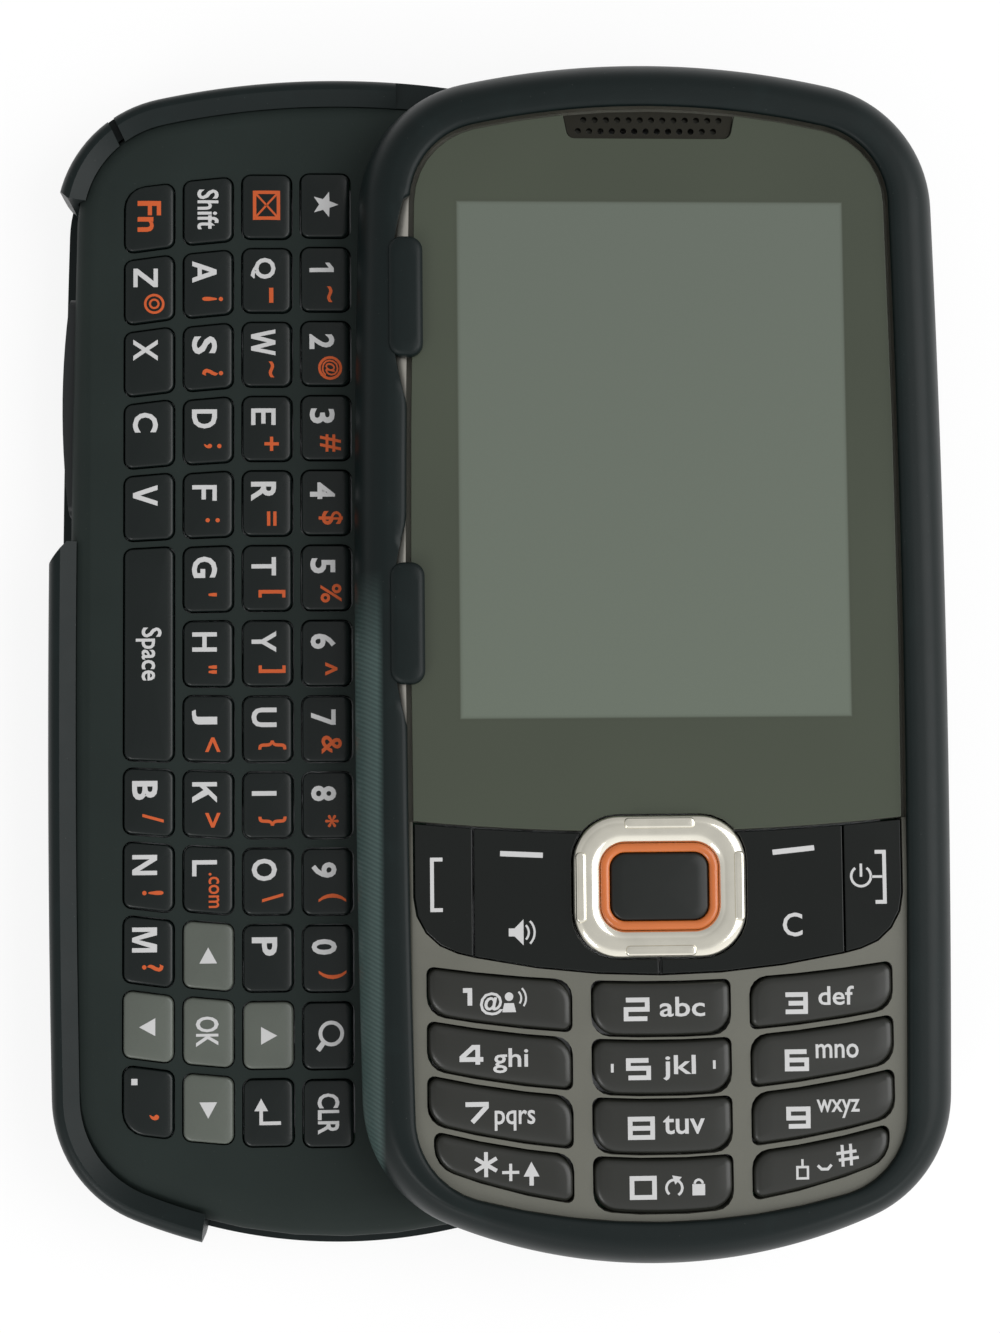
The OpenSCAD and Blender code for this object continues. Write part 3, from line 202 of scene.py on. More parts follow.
# %% [markdown]
# ## Colours
# A photograph gives colours as screen values from 0 to 255. Blender wants the light itself, so
# each colour goes through the screen's own curve once.

# %% Screen colours to light
def colour(red, green, blue):
    """Screen value v to light: ((v + 0.055) / 1.055) to the power 2.4, with v from 0 to 1."""
    v = np.array([red, green, blue]) / 255
    light = np.where(v <= 0.04045, v / 12.92, ((v + 0.055) / 1.055) ** 2.4)
    return tuple(float(x) for x in light)


print("screen value 128 is", round(colour(128, 128, 128)[0], 3), "of full light")

# %% [markdown]
# ## Moulded plastic
# Most of this phone is moulded plastic. What tells one kind from another is the grain that the
# mould leaves, how wide its highlights are, and what use has done: fine rubbed patches, a few
# specks of dust. One function takes those, so that the kinds differ only by their numbers.

# %% One recipe for the moulded parts
DUST = (0.2, 0.21, 0.2)


def moulded(name, base, rough, grain_per_mm, grain_um, patch=0.15, dust=0.0, specular=0.5,
            coat=0.0, fleck=0.0):
    """Base colour times 1 +- patch, with a finer fleck on it, roughness +- a quarter of patch,
    and a bump of grain_um microns."""
    finish = Finish(name)
    broad = finish.noise(0.12, 4.0)
    fine = finish.noise(grain_per_mm, 2.0)
    tone = (1 - patch) + broad * (2 * patch) + (fine - 0.5) * fleck
    light = tuple(min(1.0, 2 * b) for b in base)
    tint = finish.mix((tone * 0.5).held(), (0.0, 0.0, 0.0), light)
    if dust:
        tint = finish.mix(finish.specks(1.3, dust) * 0.35, tint, DUST)
    gloss = (rough - 0.12 * patch) + broad * (0.5 * patch)
    return finish.shine({
        "Base Color": tint, "Roughness": gloss.held(), "Specular IOR Level": specular,
        "Coat Weight": coat, "Coat Roughness": 0.08,
        "Normal": finish.bump(fine, grain_um * MM, 0.6)})


deck_plastic = moulded("deck_plastic", colour(33, 40, 38), 0.6, 7.0, 12, dust=0.03, specular=0.1)
housing_plastic = moulded("housing_plastic", colour(34, 37, 38), 0.5, 6.0, 14, specular=0.3)
side_key_plastic = moulded("side_key_plastic", colour(32, 35, 36), 0.4, 6.0, 8, specular=0.3)
letter_key_plastic = moulded("letter_key_plastic", colour(12, 19, 18), 0.25, 9.0, 2, specular=0.3)
cursor_key_plastic = moulded("cursor_key_plastic", colour(80, 85, 78), 0.32, 14.0, 3, fleck=0.3)
face_paint = moulded("face_paint", colour(95, 95, 87), 0.42, 22.0, 3, fleck=0.25, specular=0.3)
number_key_plastic = moulded("number_key_plastic", colour(30, 31, 27), 0.3, 16.0, 2,
                             fleck=0.2, specular=0.45)
cap_plastic = moulded("cap_plastic", colour(10, 14, 12), 0.12, 3.0, 1, dust=0.02, specular=0.3)
select_plastic = moulded("select_plastic", colour(22, 25, 23), 0.3, 8.0, 2, specular=0.3)
board_lacquer = moulded("board_lacquer", colour(28, 92, 60), 0.35, 2.0, 4)
stud_plastic = moulded("stud_plastic", colour(225, 220, 205), 0.45, 5.0, 4)
film_plastic = moulded("film_plastic", colour(170, 105, 40), 0.3, 3.0, 2)
label_wrap = moulded("label_wrap", colour(190, 192, 192), 0.4, 4.0, 2)
white_ink = moulded("white_ink", colour(236, 246, 240), 0.5, 12.0, 1, 0.05, specular=0.2)
pale_ink = moulded("pale_ink", colour(226, 234, 228), 0.5, 12.0, 1, 0.08, specular=0.2)
orange_ink = moulded("orange_ink", colour(196, 84, 42), 0.5, 12.0, 1, 0.1, specular=0.2)
print("materials, the CAD nodes' own among them:", len(bpy.data.materials))

# %% [markdown]
# ## The case's own finish
# The clip-on case is soft-touch plastic. Its long flank on the keyboard's side has fine ribs for
# the thumb. The ribs are a sine across the flank, let in by a mask that is 1 only there, so that
# one material covers the whole case. The same mask paints the flank lighter, and the rib crests
# lighter still: a painted sheen for the light that the ribs catch.

# %% A soft case with a ribbed flank
RIB_PITCH, RIBS_FROM_Z, RIBS_UPTO_Y = 0.45, 12.4, 8.0


def case_finish(name, base, flank_sheen=None, flank_x=0.0):
    """Height: grain + mask times sin(2 pi (y + 0.5 x) / pitch). Colour: base to flank_sheen by the
    mask, with lighter rib crests, as painted sheen; the mask falls off within a millimetre or so of
    flank_x, more slowly along Y."""
    finish = Finish(name)
    grain = finish.noise(5.0, 3.0)
    rubbed = finish.noise(0.18, 5.0, 0.6)
    share = (rubbed - 0.56) * 4.0
    tint = finish.mix(share.held() * 0.5, base, tuple(1.9 * b for b in base))
    height = grain * 0.4
    if flank_sheen:
        x, y, z = finish.parts(finish.place())
        side = ((flank_x - x) * 1.6).held() * ((RIBS_UPTO_Y - y) * 0.12).held()
        side = side * ((z - RIBS_FROM_Z) * 0.8).held()
        phase = (y + x * 0.5) * (2 * math.pi / RIB_PITCH)
        ribs = phase.maths("SINE", phase)
        height = height + ribs * side * 0.9
        # Painted sheen: the ribbed flank is lighter, and its rib crests lighter still, for the
        # light they catch.
        tint = finish.mix(side * (0.62 + ribs * 0.12), tint, flank_sheen)
    tint = finish.mix(finish.specks(1.1, 0.035) * 0.3, tint, DUST)
    return finish.shine({
        "Base Color": tint, "Roughness": (0.33 + rubbed * 0.16).held(),
        "Specular IOR Level": 0.2, "Normal": finish.bump(height, 0.02, 0.7)})


case_shell = case_finish("case_shell", colour(11, 21, 21))
front_shell = case_finish("front_shell", colour(10, 20, 20), colour(78, 97, 94), flank_x=4.0)
print("nodes of the plain and the ribbed case:", len(case_shell.node_tree.nodes),
      len(front_shell.node_tree.nodes))

# %% [markdown]
# ## Metal
# Metal has no colour of its own beyond the tint of its reflections, so its look is nearly all
# roughness. Plated plastic is smooth, with a slight waviness. Stamped steel has fine lines
# along the sheet, which is a noise stretched fifty times in one direction.

# %% Plated, brushed and coloured metal
def metal(name, tint, rough, lines=(1, 1, 1), per_mm=1.0, depth_um=1.0, spread=0.1):
    """Full metallic. Roughness is rough +- half of spread, following a noise stretched by lines."""
    finish = Finish(name)
    streaks = finish.noise(per_mm, 3.0, 0.6, lines)
    gloss = (rough - spread / 2) + streaks * spread
    shade = finish.mix(streaks, tuple(0.86 * t for t in tint), tint)
    return finish.shine({
        "Base Color": shade, "Roughness": gloss.held(), "Metallic": 1.0,
        "Normal": finish.bump(streaks, depth_um * MM, 0.5)})


bright_plating = metal("bright_plating", colour(240, 236, 222), 0.14, per_mm=0.5,
                       depth_um=10)
trim_silver = metal("trim_silver", colour(200, 197, 188), 0.34, per_mm=2.0, depth_um=3)
stamped_steel = metal("stamped_steel", colour(176, 178, 180), 0.36, (1, 0.02, 1), 9.0, 2)
gold_plating = metal("gold_plating", colour(222, 178, 95), 0.25)
grille_metal = metal("grille_metal", colour(48, 47, 42), 0.45, per_mm=5.0, depth_um=3)
ring_orange = moulded("ring_orange", colour(232, 98, 38), 0.3, 4.0, 2, coat=0.4)
print("materials by now:", len(bpy.data.materials))

# %% [markdown]
# ## The display window
# One sheet of hard clear plastic covers the slider's upper part. From behind it is printed with
# an olive-black border, and the display, which is off, shows through the clear middle as a
# paler grey-green. Both lie under the same gloss, so one material paints them: a rectangle mask
# chooses the colour, and the gloss is the same all over.

# %% Window border and display under one gloss
def window_finish(left=11.2, right=48.8, low=-6.35, high=43.75):
    """Inside: how far a point is within the display's rectangle, on the open slider. Held between
    0 and 1 it tells the display from its border. Where it is nearly 0, a thin darker line is
    painted shade, for the shadow of the border's edge on the display."""
    finish = Finish("window_gloss")
    x, y, z = finish.parts(finish.place())
    inside = (x - left).low_of(right - x).low_of(y - low).low_of(high - y)
    line = 1 - (abs(inside) * 2.4).held()
    dots = finish.noise(6.0, 2.0)
    cloud = finish.noise(0.03, 2.0)
    border = finish.mix((cloud * 0.9).held(), colour(56, 61, 51), colour(69, 75, 63))
    panel = finish.mix(((y + 10) * 0.02).held(), colour(96, 104, 93), colour(93, 100, 91))
    panel = finish.mix((dots - 0.3).held() * 0.35, panel, colour(86, 94, 85))
    tint = finish.mix((inside * 6.0).held(), border, panel)
    # Painted shade: a thin darker line along the display's edge, for the shadow of the border's
    # edge.
    tint = finish.mix(line * 0.35, tint, colour(60, 64, 54))
    return finish.shine({
        "Base Color": tint, "Roughness": (0.07 + cloud * 0.05).held(),
        "Specular IOR Level": 0.35})


window_gloss = window_finish()
print("nodes of the window:", len(window_gloss.node_tree.nodes))

# %% [markdown]
# ## The floor, the world and the lamps
# The photograph stands on plain white. Our floor gives most of its white as light that only
# the camera and reflections see, so that it never tints the phone, and the rest as an
# ordinary pale surface, so that the phone's shadow stays. The sky is bright all round and
# duller straight above: dark gloss then stays dark where it faces up and gets a bright line
# where it turns away, as under a ceiling.

# %% A white floor that keeps a shadow
PHONE_MIDDLE, FLOOR_RADIUS, FLOOR_SIDES = (0.015, 0.0), 2.5, 48
WHITE = (1.0, 1.0, 1.0, 1.0)


def white_floor():
    """Its own light for the camera and for reflections; for all other light a pale surface."""
    floor = Finish("white_floor")
    rays = floor.node("ShaderNodeLightPath").outputs
    seen = Amount(floor.tree, rays["Is Camera Ray"])
    for kind in ("Is Glossy Ray", "Is Transmission Ray"):
        seen = seen.high_of(Amount(floor.tree, rays[kind]))
    paper = floor.node("ShaderNodeBsdfDiffuse", {"Color": (0.93, 0.93, 0.93, 1)})
    glow = floor.node("ShaderNodeEmission", {"Color": WHITE, "Strength": 1.0})
    shaders = {0: seen * 0.84, 1: paper.outputs[0], 2: glow.outputs[0]}
    return floor.end(floor.node("ShaderNodeMixShader", shaders))


floor_angle = np.arange(FLOOR_SIDES) * 2 * np.pi / FLOOR_SIDES
floor_points = np.stack([np.cos(floor_angle), np.sin(floor_angle), 0 * floor_angle], -1)
floor_points = (*PHONE_MIDDLE, 0) + FLOOR_RADIUS * floor_points
floor_mesh = bpy.data.meshes.new("floor")
floor_mesh.from_pydata(floor_points.tolist(), [], [list(range(FLOOR_SIDES))])
floor_mesh.materials.append(white_floor())
floor = linked("floor", floor_mesh)
print("floor:", FLOOR_RADIUS, "m in radius")


# %% The sky and two large soft lamps
def sky(around, overhead):
    """Even brightness around, then smoothly down to overhead where z - 0.1 x is over 0.82. The
    right and the near side are brighter than the far one: times 1 + 0.25 x - 0.35 y."""
    bpy.context.scene.world = bpy.data.worlds.new("studio")
    air = Finish("studio", bpy.context.scene.world)
    right, ahead, height = air.parts(air.node("ShaderNodeTexCoord").outputs["Generated"])
    near_top = ((height - right * 0.1 - 0.82) * (1 / 0.13)).held()
    level = (near_top * (overhead - around) + around) * (right * 0.25 - ahead * 0.35 + 1)
    air.end(air.node("ShaderNodeBackground", {"Color": WHITE, "Strength": level}))


def soft_lamp(name, place, size, watts):
    """A square lamp at place, turned to face the middle of the phone."""
    lamp = linked(name, bpy.data.lights.new(name, "AREA"))
    lamp.data.size, lamp.data.energy = size, watts
    lamp.location = place
    way = Vector(place) - Vector((*PHONE_MIDDLE, 0))
    lamp.rotation_euler = way.to_track_quat("Z", "Y").to_euler()


sky(around=0.8, overhead=0.6)
soft_lamp("window_light", (0.38, 0.02, 0.36), 0.45, 1.6)
soft_lamp("fill_light", (-0.30, -0.40, 0.35), 0.20, 0.7)
print("lamps:", [lamp.name for lamp in bpy.data.lights])

# %% [markdown]
# ## From arrays to meshes
# Every new piece is worked out as arrays of points. A loft joins rows of points into
# four-sided faces. A skin also closes its two ends. Both make faces that look outwards when
# each row runs anticlockwise and the rows go up.

# %% Lofts, skins and pieces
def loft(rows, shut=False):
    """rows[i, j] is point j of row i. Face (i, j) joins it to its neighbours, and j wraps round."""
    count, around = rows.shape[:2]
    own_rows = np.arange(count if shut else count - 1)
    i, j = np.meshgrid(own_rows, np.arange(around), indexing="ij")
    above, beside = (i + 1) % count * around, (j + 1) % around
    faces = np.stack([i * around + j, i * around + beside, above + beside, above + j], -1)
    return rows.reshape(-1, 3), faces.reshape(-1, 4).tolist()


def skin(rows):
    """A loft with its first and last row closed."""
    points, faces = loft(rows)
    count, around = rows.shape[:2]
    low = list(range(around))[::-1]
    high = list(range((count - 1) * around, count * around))
    return points, faces + [low, high]


def together(parts):
    """Several (points, faces) pairs as one. A face's numbers move on by the points before it."""
    starts = np.cumsum([0] + [len(points) for points, _ in parts]).tolist()
    faces = [[corner + start for corner in face]
             for start, (_, own) in zip(starts, parts) for face in own]
    return np.vstack([points for points, _ in parts]), faces


print("faces of a tube of 3 rows of 4 points:", len(loft(np.zeros((3, 4, 3)))[1]))

# %% Meshes, pieces and the CAD nodes that they stand for
def points_of(mesh):
    """A mesh's points as an array."""
    flat = np.empty(len(mesh.vertices) * 3)
    mesh.vertices.foreach_get("co", flat)
    return flat.reshape(-1, 3)


def as_shown(piece):
    """A new mesh of what a piece's curve or modifiers give."""
    graph = bpy.context.evaluated_depsgraph_get()
    return bpy.data.meshes.new_from_object(piece.evaluated_get(graph))


def smoothed(mesh, angle):
    """Shades a mesh smooth, except across edges steeper than an angle in degrees."""
    mesh.polygons.foreach_set("use_smooth", np.ones(len(mesh.polygons), bool))
    mesh.set_sharp_from_angle(angle=math.radians(angle))


def mesh_piece(name, shape, finish, angle=35.0):
    """A mesh object from (points in millimetres, faces), smooth up to an angle in degrees."""
    points, faces = shape
    mesh = bpy.data.meshes.new(name)
    mesh.from_pydata((np.asarray(points) * MM).tolist(), [], faces)
    mesh.update()
    smoothed(mesh, angle)
    mesh.materials.append(finish)
    return linked(name, mesh)


def place_on(piece, *stood_for, bend=None):
    """The piece rides with the CAD nodes that it stands for, which are hidden. Given bend, its
    place is only baked into its points and it rides with no body; the bend's points are not used."""
    if bend:
        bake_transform(piece)
    else:
        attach(piece, body_of[stood_for[0]])
    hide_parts(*stood_for)
    return piece


# %% [markdown]
# ## Smoothing what the CAD drew
# The CAD file stores each piece as loose triangles, so every round edge would show its
# facets. A copy whose corners are joined can be shaded smooth across shallow edges and kept
# sharp across steep ones. The outline doesn't change: only the way light runs over it does.

# %% A smooth copy that stands for its CAD node
SAME_POINT, FLAT_ANGLE = 0.002 * MM, math.radians(0.3)


def joined_copy(node, finish, angle, edge_mm, bend=None, heights=None):
    """A node's triangles with equal corners merged and flat neighbours joined into one face.
    heights gives old and new heights in millimetres, between which the others follow."""
    copy = bmesh.new()
    copy.from_mesh(nodes[node].data)
    bmesh.ops.remove_doubles(copy, verts=copy.verts, dist=SAME_POINT)
    bmesh.ops.dissolve_limit(copy, angle_limit=FLAT_ANGLE, verts=copy.verts, edges=copy.edges)
    mesh = bpy.data.meshes.new(node + "_finished")
    copy.to_mesh(mesh)
    copy.free()
    if heights:
        points = points_of(mesh)
        points[:, 2] = np.interp(points[:, 2] / MM, *heights) * MM
        mesh.vertices.foreach_set("co", points.ravel())
    mesh.materials.clear()
    mesh.materials.append(finish)
    mesh.polygons.foreach_set("material_index", np.zeros(len(mesh.polygons), np.int32))
    smoothed(mesh, angle)
    piece = linked(node + "_finished", mesh)
    if edge_mm:
        edge = piece.modifiers.new("edge", "BEVEL")
        edge.width, edge.segments = edge_mm * MM, 2
        edge.limit_method, edge.angle_limit = "ANGLE", math.radians(40)
        edge.harden_normals = True
    return place_on(piece, node, bend=bend)


# %% [markdown]
# ## Which finish each CAD piece gets
# The plain pieces need no more than a smooth copy in the right finish. The pieces that make
# the phone's look are built again further down, so they are left out here.

# %% Plain pieces
# Finish, angle in degrees up to which it is smooth, width of the rounded edge, and the nodes
plain = [
    (housing_plastic, 40, 0, "rear_housing"), (housing_plastic, 35, 0.08, "battery_cover"),
    (housing_plastic, 35, 0, "camera_module headset_jack"),
    (housing_plastic, 50, 0, "slider_rear_housing"), (deck_plastic, 40, 0, "keyboard_housing"),
    (side_key_plastic, 40, 0.08, "volume_key camera_key"),
    (cap_plastic, 35, 0.05, "camera_window"),
    (cap_plastic, 35, 0.12, "talk_key end_key left_function_key right_function_key"),
    (label_wrap, 35, 0.1, "battery"), (label_wrap, 35, 0, "lcd_module"),
    (board_lacquer, 35, 0, "main_pcb keypad_pcb"),
    (gold_plating, 35, 0, "battery_contacts microphone"),
    (stamped_steel, 35, 0, "keyboard_dome_sheet loudspeaker vibration_motor usb_port"),
    (stamped_steel, 35, 0, "base_slide_plate base_screws slider_plate keypad_dome_sheet"),
    (stamped_steel, 35, 0, "earpiece_speaker slider_screws"),
    (stamped_steel, 70, 0, "slide_spring"), (film_plastic, 60, 0, "flex_cable"),
    (film_plastic, 35, 0, "antenna"), (stud_plastic, 35, 0, "guide_studs"),
    (face_paint, 40, 0, "front_housing"), (trim_silver, 50, 0, "side_trim"),
    (window_gloss, 40, 0.08, "display_window"), (grille_metal, 35, 0, "earpiece_grille"),
]
# Two pieces change shape as the slider moves: the spring, between the base's pin and the slider's
# post, and the cable, whose lower run stays while its upper run goes and the fold between them
# stretches along the gap. Each is given two points to bend between, which are not used, so both
# stay as they lie. The cable's upper run lies close under the slider, so that it passes over the
# letter keys.
bends = {
    "slide_spring": {"bend": ((0, 14.2, 0), (0, 25.8, 0))},
    "flex_cable": {
        "bend": ((0, 0, 9.93), (0, 0, 9.975)),
        "heights": ((9.13, 9.67, 9.83, 11.95), (9.13, 9.98, 10.06, 11.95)),
    },
}
done = [joined_copy(node, finish, angle, edge_mm, **bends.get(node, {}))
        for finish, angle, edge_mm, names in plain for node in names.split()]
print("smoothed:", len(done), "left to build:", len(nodes) - len(done))

# %% [markdown]
# ## The phone's outline
# Base, slider and both halves of the case follow one outline: two long sides that bow a
# little, a flat arc at the earpiece end, a rounder one at the other, and four corner arcs that
# run smoothly from one to the next. A wall that stands off by some distance is this outline
# moved along its own outward direction, so we work out points and directions once.

# %% Outline points and outward directions
HALF_WIDTH, HALF_LENGTH, TOP_RADIUS, FOOT_RADIUS, CORNER, SIDE_RADIUS = 26.9, 56.2, 81, 51, 11, 1700
OPEN = 30.0


def sweep(centre, radius, start, stop, steps):
    """Points centre + radius (cos a, sin a) with a from start to stop, and their directions."""
    a = np.linspace(start, stop, steps + 1)[:, None]
    out = np.hstack([np.cos(a), np.sin(a)])
    return np.asarray(centre) + radius * out, out


def quarter(reach, end_radius, steps):
    """Side arc, corner arc and end arc. The corner's centre is side radius - corner radius from
    the side's centre, and end radius - corner radius from the end's, so that all run tangent."""
    side, end = np.array([HALF_WIDTH - SIDE_RADIUS, 0.0]), np.array([0.0, reach - end_radius])
    to_side, to_end = SIDE_RADIUS - CORNER, end_radius - CORNER
    apart = np.linalg.norm(end - side)
    ahead = (end - side) / apart
    along = (to_side**2 - to_end**2 + apart**2) / (2 * apart)
    aside = math.sqrt(to_side**2 - along**2) * np.array([-ahead[1], ahead[0]])
    corner = side + along * ahead + aside
    from_side = math.atan2(*(corner - side)[::-1])
    from_end = math.atan2(*(corner - end)[::-1])
    arcs = [sweep(side, SIDE_RADIUS, 0, from_side, steps[0]),
            sweep(corner, CORNER, from_side, from_end, steps[1]),
            sweep(end, end_radius, from_end, math.pi / 2, steps[2])]
    return [np.vstack([arcs[0][k], arcs[1][k][1:], arcs[2][k][1:]]) for k in (0, 1)]


def outline(foot_out=0.0, foot_radius=FOOT_RADIUS, steps=(50, 20, 30)):
    """The closed outline, anticlockwise from the middle of the microphone end."""
    top = quarter(HALF_LENGTH, TOP_RADIUS, steps)
    foot = quarter(HALF_LENGTH + foot_out, foot_radius, steps)
    right = [np.vstack([(f * (1, -1))[::-1], t[1:]]) for f, t in zip(foot, top)]
    return [np.vstack([r, (r * (-1, 1))[::-1][1:-1]]) for r in right]


print("outline points:", len(outline()[0]), "size", np.ptp(outline()[0], axis=0).round(2))


# %% Sections carried round the outline
def round_up(grow, bottom, across, up, steps):
    """Section of a lower edge: a quarter ellipse from flat to upright."""
    a = np.linspace(0, math.pi / 2, steps + 1)
    return np.stack([grow - across * (1 - np.sin(a)), bottom + up * (1 - np.cos(a))], -1)


def round_in(grow, top, across, down, steps, upto=90.0):
    """Section of an upper edge: a quarter ellipse from upright to flat."""
    a = np.linspace(0, math.radians(upto), steps + 1)
    return np.stack([grow - across * (1 - np.cos(a)), top - down * (1 - np.sin(a))], -1)


LIP_REACH = 3.1


def carried(section, lip=False):
    """Rows of the outline: point + grow * direction, at the section's heights. On a lip the foot
    of the outline moves out by 0.5 share and its radius grows by 19 share: -grow / reach."""
    rows = []
    for grow, height in section:
        share = max(-grow, 0) / LIP_REACH if lip else 0
        points, out = outline(0.5 * share, FOOT_RADIUS + 19 * share)
        rows.append(np.column_stack([points + grow * out, np.full(len(points), height)]))
    return np.stack(rows)


print("points of a wall of two rows:", carried([(0, 0), (0, 1)]).shape)

# %% [markdown]
# ## The case's front half
# This is the broad dark frame of the photograph. One section is carried round the outline: up
# the outside, over in a long soft curve, a small step down at the inner lip, and back down
# the inside. Two shallow bites beside the clip tabs come from moving every lip point that
# lies inside a bite onto the bite's arc.

# %% Front half with its scallops and clip tabs
SLIDER_TOP, LIP_TOP, TAB_SPOTS = 16.3, 17.05, (34.2, 2.8)
BITE_LONG, BITE_DEEP = 19.5, 1.4
front_section = np.vstack([
    round_up(1.9, 10.2, 0.6, 0.9, 5), round_in(1.9, LIP_TOP, 3.25, 4.6, 20),
    [[-1.9, LIP_TOP], [0.55 - LIP_REACH, LIP_TOP - 0.02], [0.25 - LIP_REACH, LIP_TOP - 0.1],
     [0.08 - LIP_REACH, LIP_TOP - 0.26], [-LIP_REACH, LIP_TOP - 0.6]],
    round_in(0.1, SLIDER_TOP, LIP_REACH, 3.4, 10)[::-1], [[0.1, 10.2]]])
front_rows = carried(front_section, lip=True)


def bitten(rows, middle, length, depth):
    """Lip points in the bite's circle move out to it: x = centre - sqrt(r^2 - (y - middle)^2)."""
    inner = LIP_REACH - HALF_WIDTH
    radius = ((length / 2) ** 2 + depth**2) / (2 * depth)
    away = np.clip(rows[..., 1] - middle, -length / 2, length / 2)
    arc_x = inner - depth + radius - np.sqrt(radius**2 - away**2)
    hit = (np.abs(rows[..., 1] - middle) < length / 2) & (rows[..., 0] < inner + 1)
    hit &= (rows[..., 0] > arc_x) & (rows[..., 2] > SLIDER_TOP - 0.45)
    rows[..., 0] = np.where(hit, arc_x, rows[..., 0])
    return rows


for spot in TAB_SPOTS:
    front_rows = bitten(front_rows, spot, BITE_LONG, BITE_DEEP)
print("rows and points of the front half:", front_rows.shape[:2])


# %% Crowned caps from a few corners
def rounded(corners, radii, steps=6):
    """Each corner becomes an arc, whose centre lies radius / sin(half) away on its bisector."""
    corners, radii = np.asarray(corners, float), np.asarray(radii, float)
    back, ahead = np.roll(corners, 1, 0) - corners, np.roll(corners, -1, 0) - corners
    back /= np.linalg.norm(back, axis=1, keepdims=True)
    ahead /= np.linalg.norm(ahead, axis=1, keepdims=True)
    half = np.arccos(np.clip((back * ahead).sum(1), -1, 1)) / 2
    middle = back + ahead
    middle /= np.maximum(np.linalg.norm(middle, axis=1, keepdims=True), 1e-9)
    centre = corners + middle * (radii / np.sin(half))[:, None]
    start = corners + back * (radii / np.tan(half))[:, None] - centre
    stop = corners + ahead * (radii / np.tan(half))[:, None] - centre
    across = start[:, 0] * stop[:, 1] - start[:, 1] * stop[:, 0]
    turn = np.arctan2(across, (start * stop).sum(1))[:, None]
    a = np.arctan2(start[:, 1], start[:, 0])[:, None] + turn * np.linspace(0, 1, steps + 1)
    arcs = centre[:, None] + radii[:, None, None] * np.stack([np.cos(a), np.sin(a)], -1)
    keep = np.ones(arcs.shape[:2], bool)
    keep[radii < 1e-6, 1:] = False
    return arcs[keep]


def drawn_in(corners, inset):
    """A polygon whose edges all move inwards: corner + inset (n1 + n2) / (1 + n1.n2)."""
    corners = np.asarray(corners, float)
    ahead = np.roll(corners, -1, 0) - corners
    ahead /= np.linalg.norm(ahead, axis=1, keepdims=True)
    inward = np.stack([-ahead[:, 1], ahead[:, 0]], -1)
    before = np.roll(inward, 1, 0)
    return corners + inset * (inward + before) / (1 + (inward * before).sum(1))[:, None]


def cap_rows(corners, radii, bottom, edge, top, shrink=(0.8, 0.55, 0.3, 0.08), steps=6):
    """Rows of a crowned cap: straight up from bottom, over the edge's (inset, drop) pairs, then the
    last ring drawn towards its middle. top(x, y) is the height of the crown."""
    radii = np.asarray(radii, float)
    rings, drops = [], []
    for inset, drop in edge:
        smaller = np.where(radii > 1e-6, np.maximum(radii - inset, 0.05), 0)
        rings.append(rounded(drawn_in(corners, inset), smaller, steps))
        drops.append(drop)
    middle = (rings[-1].max(0) + rings[-1].min(0)) / 2
    for share in shrink:
        rings.append(middle + share * (rings[len(edge) - 1] - middle))
        drops.append(0.0)
    rows = np.stack(rings)
    height = top(rows[..., 0], rows[..., 1]) - np.array(drops)[:, None]
    rows = np.concatenate([rows, height[..., None]], -1)
    foot = np.concatenate([rows[:1, :, :2], np.full((1, rows.shape[1], 1), bottom)], -1)
    return np.concatenate([foot, rows])


def rectangle(width, length, middle=(0, 0)):
    """Four corners, anticlockwise from the lower left."""
    return np.array([[-1, -1], [1, -1], [1, 1], [-1, 1]]) * (width / 2, length / 2) + middle


print("a square's corners, drawn in by 1:", drawn_in(rectangle(4, 4), 1).tolist())


# %% Clip tabs, and the front half put together
def clip_tab(spot):
    """A rounded bar on the lip, crowned across, with the foot that joins it to the case."""
    middle_x, foot_x = LIP_REACH - HALF_WIDTH + 0.1, -26.0
    crown = lambda x, y: SLIDER_TOP + 1.25 - 0.03 * (x - middle_x) ** 2
    flat = lambda x, y: SLIDER_TOP + 0.5 + 0 * x
    base = SLIDER_TOP + 0.06
    bar = cap_rows(rectangle(3.3, 11.6, (middle_x, spot)), [1.3] * 4, base,
                   [(0, 0.5), (0.04, 0.33), (0.15, 0.18), (0.3, 0.07), (0.5, 0)], crown)
    foot = cap_rows(rectangle(middle_x - foot_x, 9.2, ((middle_x + foot_x) / 2, spot)),
                    [0.2] * 4, base, [(0, 0.05), (0.05, 0)], flat)
    return [skin(bar), skin(foot)]


opened = np.array([OPEN, 0, 0])
CAP_ANGLE = 50


def on_slider(name, shape, finish, node):
    """A new piece in the slider's own millimetres, put where the open slider is."""
    points, faces = shape
    return place_on(mesh_piece(name, (points + opened, faces), finish, CAP_ANGLE), node)


tabs = [part for spot in TAB_SPOTS for part in clip_tab(spot)]
front_shape = together([loft(front_rows, shut=True)] + tabs)
on_slider("front_case_finished", front_shape, front_shell, "front_case")
print("front case faces:", len(front_shape[1]))

# %% [markdown]
# ## The case's rear half
# The rear half is a tray: its section runs from the flat back up the outside, over the rim and
# down the inside. Openings for the volume key, the bare end, the passing slider, the camera
# and the loudspeaker are then cut out of it, as the mould leaves them. A Boolean modifier
# takes the cutters away, and its result becomes the mesh.

# %% The tray's section, and columns to cut with
DECK_TOP, CASE_TOP = 9.3, 9.85
tray_section = np.vstack([
    round_up(1.9, 0, 4.0, 4.0, 12), round_in(1.9, CASE_TOP, 1.3, 1.6, 8),
    round_in(0.1, DECK_TOP + 0.1, 2.3, 2.4, 6, 54)[::-1], round_up(0.1, 1.2, 3.6, 3.0, 10)[::-1]])


